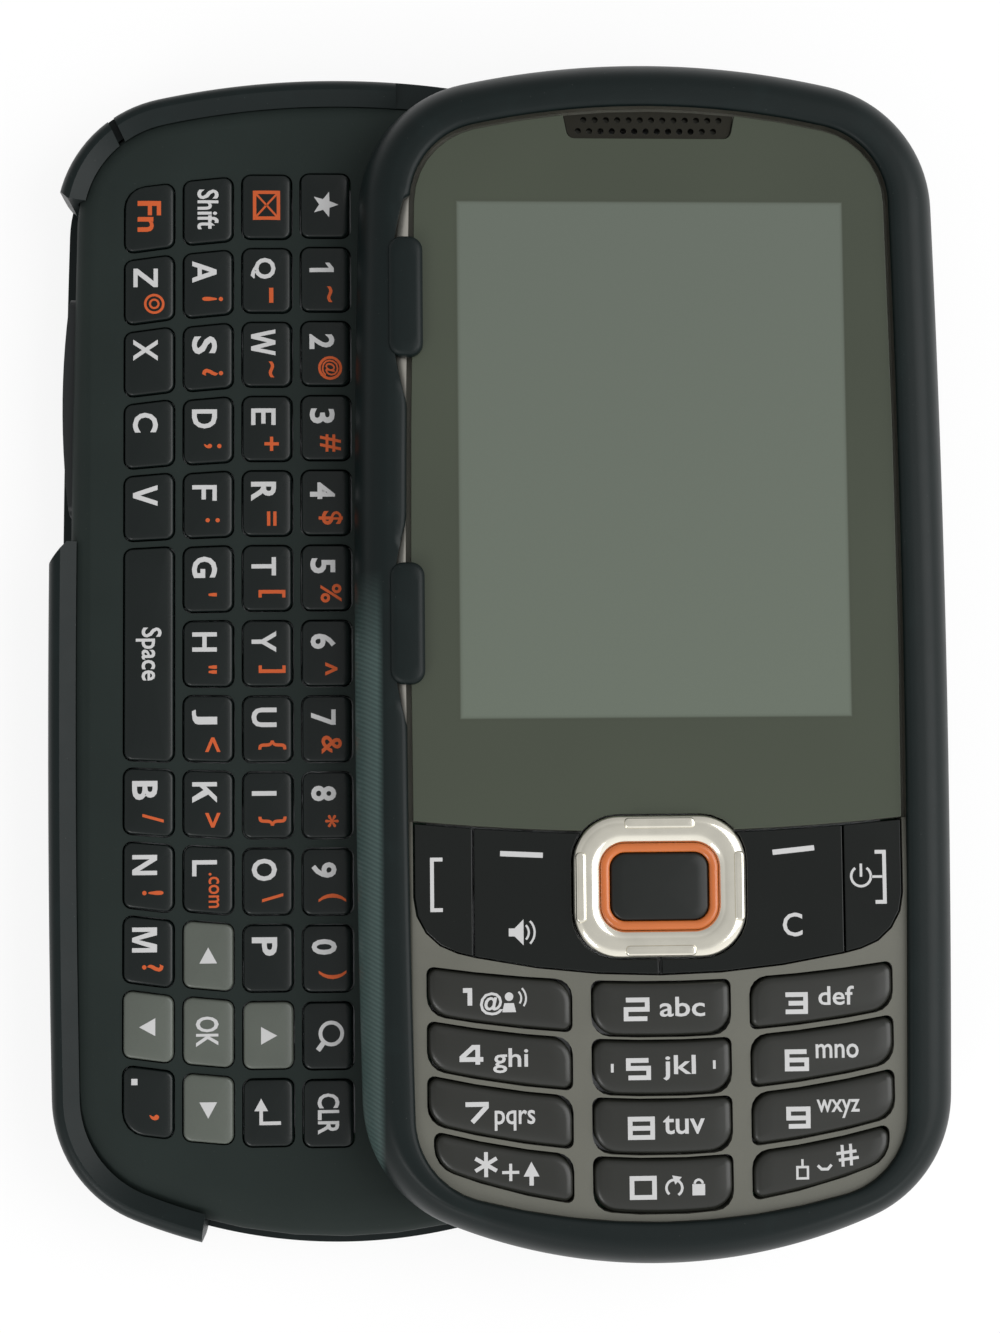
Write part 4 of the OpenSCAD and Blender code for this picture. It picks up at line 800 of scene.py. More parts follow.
def prism(corners, low, high):
    """A straight column over a polygon."""
    corners = np.asarray(corners, float)
    if np.cross(np.roll(corners, -1, 0) - corners, np.roll(corners, -2, 0) - corners).sum() < 0:
        corners = corners[::-1]
    rows = np.stack([np.column_stack([corners, np.full(len(corners), z)]) for z in (low, high)])
    return skin(rows)


def ring_of(middle, radius, count=48):
    """Corners of a round hole."""
    return sweep(middle, radius, 0, 2 * math.pi, count)[0][:-1]


def slanted(width, length, middle, degrees):
    """The corners of a turned rectangle."""
    c, s = math.cos(math.radians(degrees)), math.sin(math.radians(degrees))
    return rectangle(width, length) @ np.array([[c, s], [-s, c]]) + middle


back_rows = carried(tray_section)
print("rows and points of the rear half:", back_rows.shape[:2])

# %% The openings of the rear half
x, y = HALF_WIDTH, HALF_LENGTH
FLOOR_CUT, EDGE_CUT, ABOVE = (-1, 1.4), 2.2, 30
volume_opening = [[-x - 5, 5.7], [-x, 11.7], [3 - x, 11.7], [3 - x, 45.7], [-x, 45.7],
                  [-x - 5, 50.7]]
bare_end = [[-13, 6 - y], [-14.5, -y - 5], [21.5, -y - 5], [20, 6 - y]]
camera_key_opening = [[x - 1, -28], [x + 9, -28], [x + 9, -16], [x - 1, -16]]
slider_passage = rectangle(80, 160, (45.5, 0))
corner_groove = slanted(0.7, 4, (4.5 - x, y - 3.2), 26)
camera_hole = ring_of((14, y - 13), 5.6)
speaker_slots = [rounded(rectangle(1.2, 7, (-3 + 2.2 * k, y - 13)), [0.55] * 4)
                 for k in range(-2, 3)]
cutters = [
    prism(volume_opening, EDGE_CUT, ABOVE), prism(bare_end, EDGE_CUT, ABOVE),
    prism(slider_passage, DECK_TOP - 0.4, ABOVE),
    prism(corner_groove, DECK_TOP - 1, DECK_TOP + 1), prism(camera_key_opening, 3.2, ABOVE),
    *[prism(hole, *FLOOR_CUT) for hole in (camera_hole, *speaker_slots)]]


def cut_out(piece, cutters):
    """Takes every cutter away from the piece and keeps the result as its mesh."""
    blades = mesh_piece("blades", together(cutters), case_shell)
    cut = piece.modifiers.new("openings", "BOOLEAN")
    cut.operation, cut.solver, cut.object, cut.use_self = "DIFFERENCE", "EXACT", blades, True
    result = as_shown(piece)
    piece.modifiers.clear()
    piece.data = result
    bpy.data.objects.remove(blades)
    smoothed(result, 38)
    return piece


back_case = mesh_piece("back_case_finished", skin(back_rows), case_shell, 40)
place_on(cut_out(back_case, cutters), "back_case")
print("rear case faces:", len(back_case.data.polygons))

# %% [markdown]
# ## The letter keys
# The keyboard is turned a quarter: its rows run along the phone. Each key is a glossy cap with
# a small sharp edge and a long crown across its width. The caps of the two outer rows lean
# with the phone's round ends, and the two keys in its corners have one large corner each.

# %% Places and corners of the letter keys
KEY_WIDE, KEY_LONG, COLUMN_PITCH, SIDE_MARGIN, MIDDLE_Y = 4.8, 6.35, 5.77, 8, 0.55
LETTER_TOP = DECK_TOP + 0.4


def letter_pitch(column):
    """From key to key along a row, a little less in the outer rows."""
    return 7.43 - 0.22 * ((3 - column) / 3) ** 2


def letter_spot(column, row):
    """The middle of a letter key; rows are counted from the earpiece end."""
    x = SIDE_MARGIN - HALF_WIDTH + column * COLUMN_PITCH
    return np.array([x, MIDDLE_Y + (6 - row) * letter_pitch(column)])


def lean(column, edge):
    """Slope of a key's end edge. It grows from the middle of the keyboard to either end."""
    return (0.14, 0.1, 0, 0)[column] * min(max((6 - edge) / 4, -1), 1)


def letter_corners(column, row, length=KEY_LONG, rows=1):
    """Corners, anticlockwise from the lower left, with y = +-length / 2 + lean x."""
    x, y = KEY_WIDE / 2, length / 2
    low, high = lean(column, row + rows / 2) * x, lean(column, row - rows / 2) * x
    corners = np.array([[-x, -y - low], [x, -y + low], [x, y + high], [-x, y - high]])
    return letter_spot(column, row) + corners


def letter_radii(column, row):
    """Corner radii; the two keys in the phone's own corners have one large corner each."""
    big = {(0, 0): (0.8, 0.8, 0.8, 2.2), (0, 12): (2.3, 0.8, 0.8, 0.8)}
    return big.get((column, row), (0.8, 0.8, 0.8, 0.8))


print("first and last key of the number row:", letter_spot(3, 0), letter_spot(3, 12).round(2))

# %% The caps of the letter keys
CROWN_RADIUS = 14


def letter_crown(column):
    """Height of the crown: top - (x - middle)^2 / (2 radius)."""
    middle = letter_spot(column, 0)[0]
    return lambda x, y: LETTER_TOP - (x - middle) ** 2 / (2 * CROWN_RADIUS)


LETTER_EDGE = [(0, 0.22), (0.05, 0.1), (0.14, 0.03), (0.28, 0)]
LETTER_FOOT = DECK_TOP - 1.3


def letter_cap(column, row, length=KEY_LONG, rows=1):
    """A closed cap over the key's corners; a longer one covers several rows."""
    corners, radii = letter_corners(column, row, length, rows), letter_radii(column, row)
    return skin(cap_rows(corners, radii, LETTER_FOOT, LETTER_EDGE, letter_crown(column)))


letter_rows = {"number_row_keys": [(3, r) for r in range(13)],
               "top_letter_keys": [(2, r) for r in range(13) if r != 11],
               "home_letter_keys": [(1, r) for r in range(10)],
               "bottom_letter_keys": [(0, r) for r in (0, 1, 2, 3, 4, 8, 9, 10, 12)],
               "cursor_keys": [(2, 11), (1, 10), (1, 11), (1, 12), (0, 11)]}
for node, places in letter_rows.items():
    finish = cursor_key_plastic if node == "cursor_keys" else letter_key_plastic
    caps = together([letter_cap(*place) for place in places])
    place_on(mesh_piece(node + "_caps", caps, finish, CAP_ANGLE), node)
space_bar = letter_cap(0, 6, KEY_LONG + 2 * letter_pitch(0), 3)
place_on(mesh_piece("space_key_cap", space_bar, letter_key_plastic, CAP_ANGLE), "space_key")
print("letter keys and space key:", sum(len(places) for places in letter_rows.values()) + 1)

# %% [markdown]
# ## The number keys
# The twelve number keys stand in three columns. Their upper and lower edges bend like the end
# of the phone, more in each row, and their corners differ: tight where a key meets the frame
# above, wide at the foot, which gives the outer ones the look of a leaf.

# %% Leaf-shaped number keys
KEY_TOP, NUMBER_FOOT, FIRST_ROW_Y, ROW_PITCH = 16.65, 14.45, -31.35, 5.5
MIDDLE_TALL, OUTER_TALL, MIDDLE_TO, OUTER_FROM, OUTER_TO = 5.0, 4.75, 6.5, 8.55, 22.0
FOOT_BEND = 6.5  # the foot of the last row bends like the edge of a row so far down
number_names = (("1", "2", "3"), ("4", "5", "6"), ("7", "8", "9"), ("star", "0", "hash"))


def row_edge(row, x):
    """How much higher a row's edge is at x than in the middle: x^2 (0.0068 + 0.0018 row) / 2."""
    return x * x * (0.0068 + 0.0018 * row) / 2


def number_corners(side, row):
    """The key's corners and radii, anticlockwise, with finer points along both bent edges."""
    last = row == 3
    height = MIDDLE_TALL if side == 0 else OUTER_TALL - 0.2 * last
    x0, x1 = (-MIDDLE_TO, MIDDLE_TO) if side == 0 else (OUTER_FROM, OUTER_TO - 0.6 * last)
    x = np.concatenate([[x0], np.linspace(x0 + 3, x1 - 3, 8), [x1]])
    high = FIRST_ROW_Y - ROW_PITCH * row
    low = np.column_stack([x, high - height + row_edge(FOOT_BEND if last else row + 1, x)])
    up = np.column_stack([x, high + row_edge(row, x)])[::-1]
    corners, radii = np.vstack([low, up]), np.zeros(20)
    outer_radii = (0.8, 2.8 if last else 2.4, 0.8, 2.1)
    radii[[0, 9, 10, 19]] = (2.3, 2.3, 0.8, 1.2) if side == 0 else outer_radii
    if side < 0:
        corners, radii = (corners * (-1, 1))[::-1], radii[::-1]
    return corners, radii


def number_crown(side, row):
    """A cushion: top - 0.045 v^2, with v the distance from the key's own bent middle line."""
    middle = FIRST_ROW_Y - ROW_PITCH * row - (OUTER_TALL if side else MIDDLE_TALL) / 2
    return lambda x, y: KEY_TOP - 0.045 * (y - middle - row_edge(row + 0.5, x)) ** 2


NUMBER_EDGE = [(0, 0.45), (0.08, 0.26), (0.2, 0.13), (0.4, 0.04), (0.7, 0)]
number_keys = [(row, side, name) for row, names in enumerate(number_names)
               for side, name in zip((-1, 0, 1), names)]
for row, side, name in number_keys:
    cap = cap_rows(*number_corners(side, row), NUMBER_FOOT, NUMBER_EDGE, number_crown(side, row))
    on_slider("key_" + name + "_cap", skin(cap), number_key_plastic, "key_" + name)
print("number keys:", len(number_keys))

# %% [markdown]
# ## The navigation key
# A plated frame with a rounded crown surrounds the select key. Four small raised bars mark its
# directions. Chrome shows every facet, so its corners get many points and its crown is a
# smooth curve of the distance across the band.

# %% Plated frame with four bars, coloured ring and select key
NAV_SIZE, NAV_Y, NAV_BAND, NAV_TOP = (16.4, 13.4), -22.3, 2.55, 17.0


def band_ring(size, band, radii, top, fall, power, foot):
    """A crowned band around a hole. Its height is top - fall |2 u - 1|^power, with u from 0 at the
    outer edge to 1 at the hole."""
    u = np.linspace(0, 1, 17)
    crown = zip(u, top - fall * np.abs(2 * u - 1) ** power)
    rows = []
    for share, z in [(0, foot), *crown, (1, foot)]:
        wide, long = np.array(size) - 2 * band * share
        radius = radii[0] + (radii[1] - radii[0]) * share
        loop = rounded(rectangle(wide, long, (0, NAV_Y)), [radius] * 4, 12)
        rows.append(np.column_stack([loop, np.full(len(loop), z)]))
    return loft(np.stack(rows), shut=True)


def nav_bar(width, length, middle):
    """A small flat bar with a rounded edge, raised on the band."""
    return skin(cap_rows(rectangle(width, length, middle), [0.4] * 4, NAV_TOP - 0.6,
                         [(0, 0.2), (0.05, 0.08), (0.14, 0.02), (0.24, 0)],
                         lambda x, y: NAV_TOP + 0.2 + 0 * x))


def select_crown(x, y):
    """Height of the select key: a shallow dome."""
    return NAV_TOP - 0.3 - 0.006 * (x * x + (y - NAV_Y) ** 2)


bars = [nav_bar(6.7, 1.0, (0, NAV_Y + s * (NAV_SIZE[1] / 2 - 0.7))) for s in (-1, 1)]
bars += [nav_bar(0.95, 6.6, (s * (NAV_SIZE[0] / 2 - 0.68), NAV_Y)) for s in (-1, 1)]
frame_band = band_ring(NAV_SIZE, NAV_BAND, (4.4, 2.4), NAV_TOP, 0.5, 3.4, NUMBER_FOOT)
on_slider("nav_ring_finished", together([frame_band] + bars), bright_plating, "nav_ring")
on_slider("nav_accent_finished", band_ring((11.2, 8.2), 0.85, (2.3, 1.5), NAV_TOP - 0.36, 0.2, 2.6,
                                           NUMBER_FOOT + 0.5), ring_orange, "nav_accent")
select_cap = cap_rows(rectangle(9.3, 6.4, (0, NAV_Y)), [1.4] * 4, NUMBER_FOOT,
                      [(0, 0.3), (0.06, 0.14), (0.16, 0.05), (0.32, 0)], select_crown)
on_slider("nav_select_key_finished", skin(select_cap), select_plastic, "nav_select_key")
print("faces of the plated band:", len(frame_band[1]), "and bars:", len(bars))

# %% [markdown]
# ## Printed legends
# Letters, digits and signs are thin ink on the caps. Each is a flat shape first: Blender's own
# font gives the letters, and strokes of even width give the squarish digits and the icons. All
# legends of one colour on one moving piece become one mesh. It is cut into narrow strips, so
# that it can bend with the crown, and lifted a hair above it.

# %% Flat letters from the font
def letters(text, size, middle, turned=False, wide=1.0, bold=0.012, box=None):
    """Font outlines as (points, faces), centred on middle and stretched to box if there is one.
    Turned ones read down: a letter's (across, up) becomes (up, -across)."""
    words = bpy.data.curves.new("words", "FONT")
    words.body, words.size, words.resolution_u = text, size, 3
    words.offset = bold * size
    holder = linked("words", words)
    mesh = as_shown(holder)
    flat = points_of(mesh)[:, :2] * (wide, 1)
    faces = [list(face.vertices) for face in mesh.polygons]
    bpy.data.objects.remove(holder)
    flat -= (flat.max(0) + flat.min(0)) / 2
    if box:
        flat *= np.asarray(box) / (flat.max(0) - flat.min(0))
    if turned:
        flat = flat[:, ::-1] * (1, -1)
    return flat + np.asarray(middle), faces


def word(text, size, middle, box, bold=0.02):
    """A turned word or a letter stretched to its box."""
    return letters(text, size, middle, True, bold=bold, box=box)


print("points of an O:", len(word("O", 3, (0, 0), (2, 2))[0]))


# %% Strokes, filled shapes and arcs
def stroke(points, width, shut=False):
    """A line of even width: each side point is p +- (n1 + n2) / (1 + n1.n2) width / 2."""
    points = np.asarray(points, float)
    steps = (np.roll(points, -1, 0) - points) if shut else np.diff(points, axis=0)
    normal = np.stack([-steps[:, 1], steps[:, 0]], -1)
    normal /= np.linalg.norm(steps, axis=1, keepdims=True)
    before = np.roll(normal, 1, 0) if shut else np.vstack([normal[:1], normal])
    after = normal if shut else np.vstack([normal, normal[-1:]])
    side = (before + after) / (1 + (before * after).sum(1))[:, None] * width / 2
    count = len(points)
    i = np.arange(count if shut else count - 1)
    j = (i + 1) % count
    faces = np.stack([i + count, j + count, j, i], -1).tolist()
    return np.vstack([points + side, points - side]), faces


def filled(points):
    """A plain filled shape."""
    return np.asarray(points, float), [list(range(len(points)))]


def circle(middle, radius, start=0.0, stop=360.0, count=28):
    """Points of an arc, in degrees; a whole circle leaves out its last point."""
    whole = abs(stop - start) >= 360
    a = np.radians(np.linspace(start, stop, count + 1))[: -1 if whole else None]
    return np.asarray(middle) + radius * np.stack([np.cos(a), np.sin(a)], -1)


print("faces of a ring:", len(stroke(circle((0, 0), 1), 0.2, True)[1]))

# %% Flat shapes laid on a crown
INK_LIFT = 0.015


def inked(name, shapes, finish, body, surface, strip=(0.4, 3.0)):
    """One mesh of flat shapes, cut every strip millimetres, lying on surface(x, y)."""
    points, faces = together(shapes)
    sheet = bmesh.new()
    made = [sheet.verts.new((*p, 0)) for p in points.tolist()]
    for face in faces:
        sheet.faces.new([made[k] for k in face])
    sheet.normal_update()
    bmesh.ops.triangulate(sheet, faces=sheet.faces[:])
    for axis in (0, 1):
        low, high = points[:, axis].min(), points[:, axis].max()
        for where in np.arange(low + strip[axis] / 2, high, strip[axis]):
            spot, way = [0, 0, 0], [0, 0, 0]
            spot[axis], way[axis] = where, 1
            everything = sheet.verts[:] + sheet.edges[:] + sheet.faces[:]
            bmesh.ops.bisect_plane(sheet, geom=everything, dist=1e-5, plane_co=spot, plane_no=way)
    mesh = bpy.data.meshes.new(name)
    sheet.to_mesh(mesh)
    sheet.free()
    flat = points_of(mesh)
    flat[:, 2] = surface(flat[:, 0], flat[:, 1]) + INK_LIFT
    mesh.vertices.foreach_set("co", (flat * MM).ravel())
    mesh.update()
    turned_down = [f for f in mesh.polygons if f.normal.z < 0]
    for face in turned_down:
        face.flip()
    mesh.materials.append(finish)
    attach(linked(name, mesh), body)


# %% What stands on the letter keys
# One string for each row of keys, read from the earpiece end; a blank has no such legend
row_bodies = {3: "number_row_keys", 2: "top_letter_keys", 1: "home_letter_keys",
              0: "bottom_letter_keys"}
main_letters = {3: " 1234567890", 2: " QWERTYUIOP", 1: " ASDFGHJKL", 0: " ZXCV   BNM"}
second_signs = {3: " ~ #$%^&*()", 2: "  ~+=[]{}\\", 1: " ¡¿;:'\"<>", 0: "        /!?"}


def star(middle, radius):
    """A five-pointed star whose first point looks along +X."""
    a = np.arange(10) * math.pi / 5
    r = np.where(np.arange(10) % 2 == 0, radius, 0.42 * radius)
    points = np.stack([r * np.cos(a), r * np.sin(a)], -1)
    faces = [[0, 1, 9], [2, 3, 1], [4, 5, 3], [6, 7, 5], [8, 9, 7], [1, 3, 5, 7, 9]]
    return points + middle, faces


def arrow_head(middle, way, size):
    """A triangle that points along way."""
    middle, way = np.asarray(middle), np.asarray(way, float)
    across, back = np.array([-way[1], way[0]]) * size * 0.55, middle - way * size * 0.45
    return filled([middle + way * size * 0.55, back + across, back - across])


print("letters and digits:", sum(len(text) - text.count(" ") for text in main_letters.values()))

# %% Letters made of straight strokes
# Width in millimetres of each letter and digit
glyph_wide = dict(zip("ABCDEFGHIJKLMNOPQRSTUVWXYZ0123456789", (
    2.15, 1.85, 1.95, 1.9, 1.65, 1.55, 2.1, 1.9, 0.45, 1.45, 2.0, 1.55, 2.4, 1.95, 2.15, 1.8,
    2.1, 1.9, 1.8, 1.8, 1.9, 2.05, 2.6, 2.1, 2.05, 1.85,
    1.5, 0.95, 1.5, 1.5, 1.65, 1.5, 1.5, 1.5, 1.5, 1.5)))
GLYPH_TALL, GLYPH_STROKE = 2.4, 0.42


def straight_glyph(name):
    """Faces of a letter made only of straight strokes, in a unit box. s is a stem's share of the
    width, d a slanted stroke's, v a bar's share of the height; notch is where two slants part."""
    s, v = GLYPH_STROKE / glyph_wide[name], GLYPH_STROKE / GLYPH_TALL
    d = (0.95 if name in "MW" else 1.12) * s
    notch = (0.5 - d) / (0.5 - d / 2)
    low, high, m = 0.5 - v / 2, 0.5 + v / 2, 1 - s
    half_a = [(0, 0), (d, 0), (0.5, notch), (0.5, 1), (0.5 - d / 2, 1)]
    bar_x = [d + (0.5 - d / 2) * y for y in (0.22, 0.22 + v)]
    left, right, f_low, f_high = 0.5 - s / 2, 0.5 + s / 2, low - 0.03, high - 0.03
    near, far, t = 0.5 - d / 2, 0.5 + d / 2, 1 - v
    arm = 1 - (0.5 - d) * 0.58 / left
    dip, peak = d / near, (0.23 - d / 2) / 0.23
    cross = (0.5 - d) / (1 - d)
    return {
        "A": [half_a, [(1 - x, y) for x, y in half_a],
              [(bar_x[0], 0.22), (1 - bar_x[0], 0.22), (1 - bar_x[1], 0.22 + v),
               (bar_x[1], 0.22 + v)]],
        "E": [[(0, 0), (1, 0), (1, v), (s, v), (s, low), (0.92, low), (0.92, high), (s, high),
               (s, t), (1, t), (1, 1), (0, 1)]],
        "F": [[(0, 0), (s, 0), (s, f_low), (0.92, f_low), (0.92, f_high), (s, f_high), (s, t),
               (1, t), (1, 1), (0, 1)]],
        "H": [[(0, 0), (s, 0), (s, low), (m, low), (m, 0), (1, 0), (1, 1), (m, 1), (m, high),
               (s, high), (s, 1), (0, 1)]],
        "I": [[(0, 0), (1, 0), (1, 1), (0, 1)]],
        "K": [[(0, 0), (s, 0), (s, 0.3), (0.38, 0.46), (1 - 1.15 * d, 0), (1, 0), (0.6, 0.65),
               (1, 1), (1 - 1.2 * d, 1), (s, 0.56), (s, 1), (0, 1)]],
        "L": [[(0, 0), (1, 0), (1, v), (s, v), (s, 1), (0, 1)]],
        "M": [[(0, 0), (s, 0), (s, 0.75), (near, 0), (far, 0), (m, 0.75), (m, 0), (1, 0), (1, 1),
               (m - 0.14, 1), (0.5, 0.27), (s + 0.14, 1), (0, 1)]],
        "N": [[(0, 0), (s, 0), (s, 0.7), (1 - 1.2 * s, 0), (1, 0), (1, 1), (m, 1), (m, 0.3),
               (1.2 * s, 1), (0, 1)]],
        "T": [[(left, 0), (right, 0), (right, t), (1, t), (1, 1), (0, 1), (0, t), (left, t)]],
        "V": [[(near, 0), (far, 0), (1, 1), (1 - d, 1), (0.5, 1 - notch), (d, 1), (0, 1)]],
        "W": [[(0.27 - d / 2, 0), (0.27 + d / 2, 0), (0.5, peak), (0.73 - d / 2, 0),
               (0.73 + d / 2, 0), (1, 1), (1 - d, 1), (0.73, dip), (far, 1), (near, 1),
               (0.27, dip), (d, 1), (0, 1)]],
        "X": [[(0, 0), (d, 0), (0.5, cross), (1 - d, 0), (1, 0), (far, 0.5), (1, 1), (1 - d, 1),
               (0.5, 1 - cross), (d, 1), (0, 1), (near, 0.5)]],
        "Y": [[(left, 0), (right, 0), (right, 0.42), (1, 1), (1 - d, 1), (0.5, arm), (d, 1),
               (0, 1), (left, 0.42)]],
        "Z": [[(0, 0), (1, 0), (1, v), (1.3 * d, v), (1, t), (1, 1), (0, 1), (0, t),
               (1 - 1.3 * d, t), (0, v)]],
        "1": [[(m, 0), (1, 0), (1, 1), (m, 1), (0, 0.82), (0, 0.82 - v), (m, 0.8)]],
        "7": [[(0.2, 0), (0.2 + d, 0), (1, t), (1, 1), (0, 1), (0, t), (1 - d, t)]],
    }.get(name)


def glyph(name, middle):
    """One letter or digit of the letter keys, read down."""
    wide, faces = glyph_wide[name], straight_glyph(name)
    if faces is None:
        return word(name, 3.4, middle, (wide, GLYPH_TALL + 0.05), 0.028)
    flat, numbers = together([filled(face) for face in faces])
    flat = (flat - 0.5) * (wide, GLYPH_TALL)
    return flat[:, ::-1] * (1, -1) + np.asarray(middle), numbers


print("letters from strokes:", [name for name in glyph_wide if straight_glyph(name)])


# %% The legends of the letter keys, row by row
def white_row(column):
    """The white legends of one row of letter keys."""
    at = lambda row, x, y: letter_spot(column, row) + (x, y)
    shapes = [glyph(text, at(row, -0.35, 1.15))
              for row, text in enumerate(main_letters[column]) if text != " "]
    if column == 3:
        shapes += [star(at(0, 0, 0.05), 1.35), stroke(circle(at(11, 0.3, 0.25), 1.05), 0.36, True),
                   stroke([at(11, -0.4, -0.55), at(11, -1.0, -1.35)], 0.48),
                   word("CLR", 3.0, at(12, 0, 0), (3.9, 2.1))]
    if column == 2:
        shapes += [stroke([at(12, 1.2, -0.95), at(12, -0.7, -0.95), at(12, -0.7, 0.4)], 0.34),
                   arrow_head(at(12, -0.7, 0.75), (0, 1), 1.2)]
    if column == 1:
        shapes.append(word("Shift", 2.75, at(0, 0, 0.1), (4.0, 2.1)))
    if column == 0:
        shapes.append(filled(rectangle(0.6, 0.6, at(12, -1.3, 2.0))))
    return shapes


def orange_row(column):
    """The orange signs of one row of letter keys."""
    at = lambda row, x, y: letter_spot(column, row) + (x, y)
    ring = lambda middle, radius, width: stroke(circle(middle, radius), width, True)
    shapes = [letters(text, 2.8, at(row, 0.45, -1.55), True, bold=0.016)
              for row, text in enumerate(second_signs[column]) if text != " "]
    if column == 3:
        shapes += [ring(at(2, 0.45, -1.5), 1.05, 0.26), letters("@", 1.7, at(2, 0.45, -1.5), True)]
    if column == 2:
        box = rectangle(2.35, 2.6, at(0, 0, 0.1))
        shapes += [stroke([at(1, 0.45, -0.8), at(1, 0.45, -2.3)], 0.42), stroke(box, 0.34, True),
                   stroke([box[0], box[2]], 0.2), stroke([box[1], box[3]], 0.2)]
    if column == 1:
        shapes.append(letters(".com", 2.1, at(9, 0.55, -1.0), True, 0.85))
    if column == 0:
        shapes += [word("Fn", 3.1, at(0, 0, 0.1), (3.1, 2.3)),
                   letters(",", 3.4, at(12, 0.6, -1.4), True),
                   ring(at(1, 0.5, -1.45), 0.88, 0.24), ring(at(1, 0.5, -1.45), 0.42, 0.2)]
    return shapes


for column, body in row_bodies.items():
    inked(body + "_letters", white_row(column), white_ink, body, letter_crown(column))
    inked(body + "_signs", orange_row(column), orange_ink, body, letter_crown(column))
space_word = word("Space", 2.75, letter_spot(0, 6), (5.2, 2.5), 0.018)
inked("space_key_word", [space_word], white_ink, "space_key", letter_crown(0))
print("meshes with ink:", 2 * len(row_bodies) + 1)


# %% Signs of the cursor keys
def cursor_surface(x, y):
    """The crown of whichever column a point is on."""
    first = letter_spot(0, 0)[0]
    middle = first + np.round((x - first) / COLUMN_PITCH) * COLUMN_PITCH
    return LETTER_TOP - (x - middle) ** 2 / (2 * CROWN_RADIUS)


ways = {(1, 10): (0, 1), (0, 11): (-1, 0), (2, 11): (1, 0), (1, 12): (0, -1)}
signs = [arrow_head(letter_spot(*place), way, 1.55) for place, way in ways.items()]
signs.append(word("OK", 3.0, letter_spot(1, 11) + (-0.1, 0.1), (2.9, 2.2)))
inked("cursor_keys_signs", signs, white_ink, "cursor_keys", cursor_surface)
print("signs of the cursor keys:", len(signs))

# %% [markdown]
# ## Digits of the number pad
# The digits are wide and squarish with mitred corners, so a stroke through a few points of a
# unit box gives each one. The small letters beside them are from the font.

# %% Squarish digits
frame_line = [(0, 0), (1, 0), (1, 1), (0, 1)]
# Each digit's lines, and whether its first one is closed
digit_lines = {
    "0": (True, frame_line),
    "1": (False, [(0, 1), (0.85, 1), (0.85, 0)]),
    "2": (False, [(0, 1), (1, 1), (1, 0.5), (0, 0.5), (0, 0), (1, 0)]),
    "3": (False, [(0, 1), (1, 1), (1, 0), (0, 0)], [(0.15, 0.5), (1, 0.5)]),
    "4": (False, [(0.74, 0), (0.74, 1), (0.52, 1), (0, 0.42), (0, 0.3), (1, 0.3)]),
    "5": (False, [(1, 1), (0, 1), (0, 0.55), (1, 0.55), (1, 0), (0, 0)]),
    "6": (False, [(1, 1), (0, 1), (0, 0), (1, 0), (1, 0.52), (0, 0.52)]),
    "7": (False, [(0, 1), (1, 1), (1, 0.85), (0.32, 0)]),
    "8": (True, frame_line, [(0, 0.5), (1, 0.5)]),
    "9": (False, [*frame_line, (0, 0.48), (1, 0.48)])}


def digit(name, box, width=0.44):
    """Unit points stretched to the box (x0, y0, x1, y1), less half a stroke all round."""
    low, high = np.array(box[:2]) + width / 2, np.array(box[2:]) - width / 2
    shut, *lines = digit_lines[name]
    return [stroke(low + np.array(line) * (high - low), width, shut and k == 0)
            for k, line in enumerate(lines)]


print("strokes of each digit:", {name: len(lines) - 1 for name, lines in digit_lines.items()})

# %% Places of the digits, and the letters beside them
# Boxes of the digits, and the text, middle and box of the letters beside them
pad_digits = {
    "1": (-18.95, -33.45, -17.75, -31.6), "2": (-3.6, -34.9, -1.15, -32.7),
    "3": (11.55, -34.45, 13.9, -32.4), "4": (-19.1, -38.95, -16.65, -36.9),
    "5": (-3.45, -40.4, -1.1, -38.35), "6": (11.6, -39.8, 13.9, -37.75),
    "7": (-18.8, -44.3, -16.4, -42.2), "8": (-3.35, -45.95, -0.8, -43.8),
    "9": (11.65, -45.15, 13.95, -43.1), "0": (-3.25, -51.5, -0.7, -49.3)}
pad_letters = {
    "2": ("abc", (1.95, -33.6), (4.3, 1.85)), "3": ("def", (16.6, -32.75), (3.4, 1.8)),
    "4": ("ghi", (-14.3, -38.4), (3.3, 2.3)), "5": ("jkl", (1.6, -39.3), (3.1, 2.35)),
    "6": ("mno", (16.6, -37.95), (4.1, 1.35)), "7": ("pqrs", (-13.95, -43.95), (3.8, 1.9)),
    "8": ("tuv", (1.95, -44.6), (3.95, 1.75)), "9": ("wxyz", (16.6, -43.35), (4.1, 1.75))}
print("digits:", len(pad_digits), "with letters:", len(pad_letters))


# %% Signs of the number keys
def sound_waves(middle, *radii, half_angle=40, turn=5, steps=6, width=0.18):
    """Arcs that open to the right."""
    return [stroke(circle(middle, radius, turn - half_angle, turn + half_angle, steps), width)
            for radius in radii]


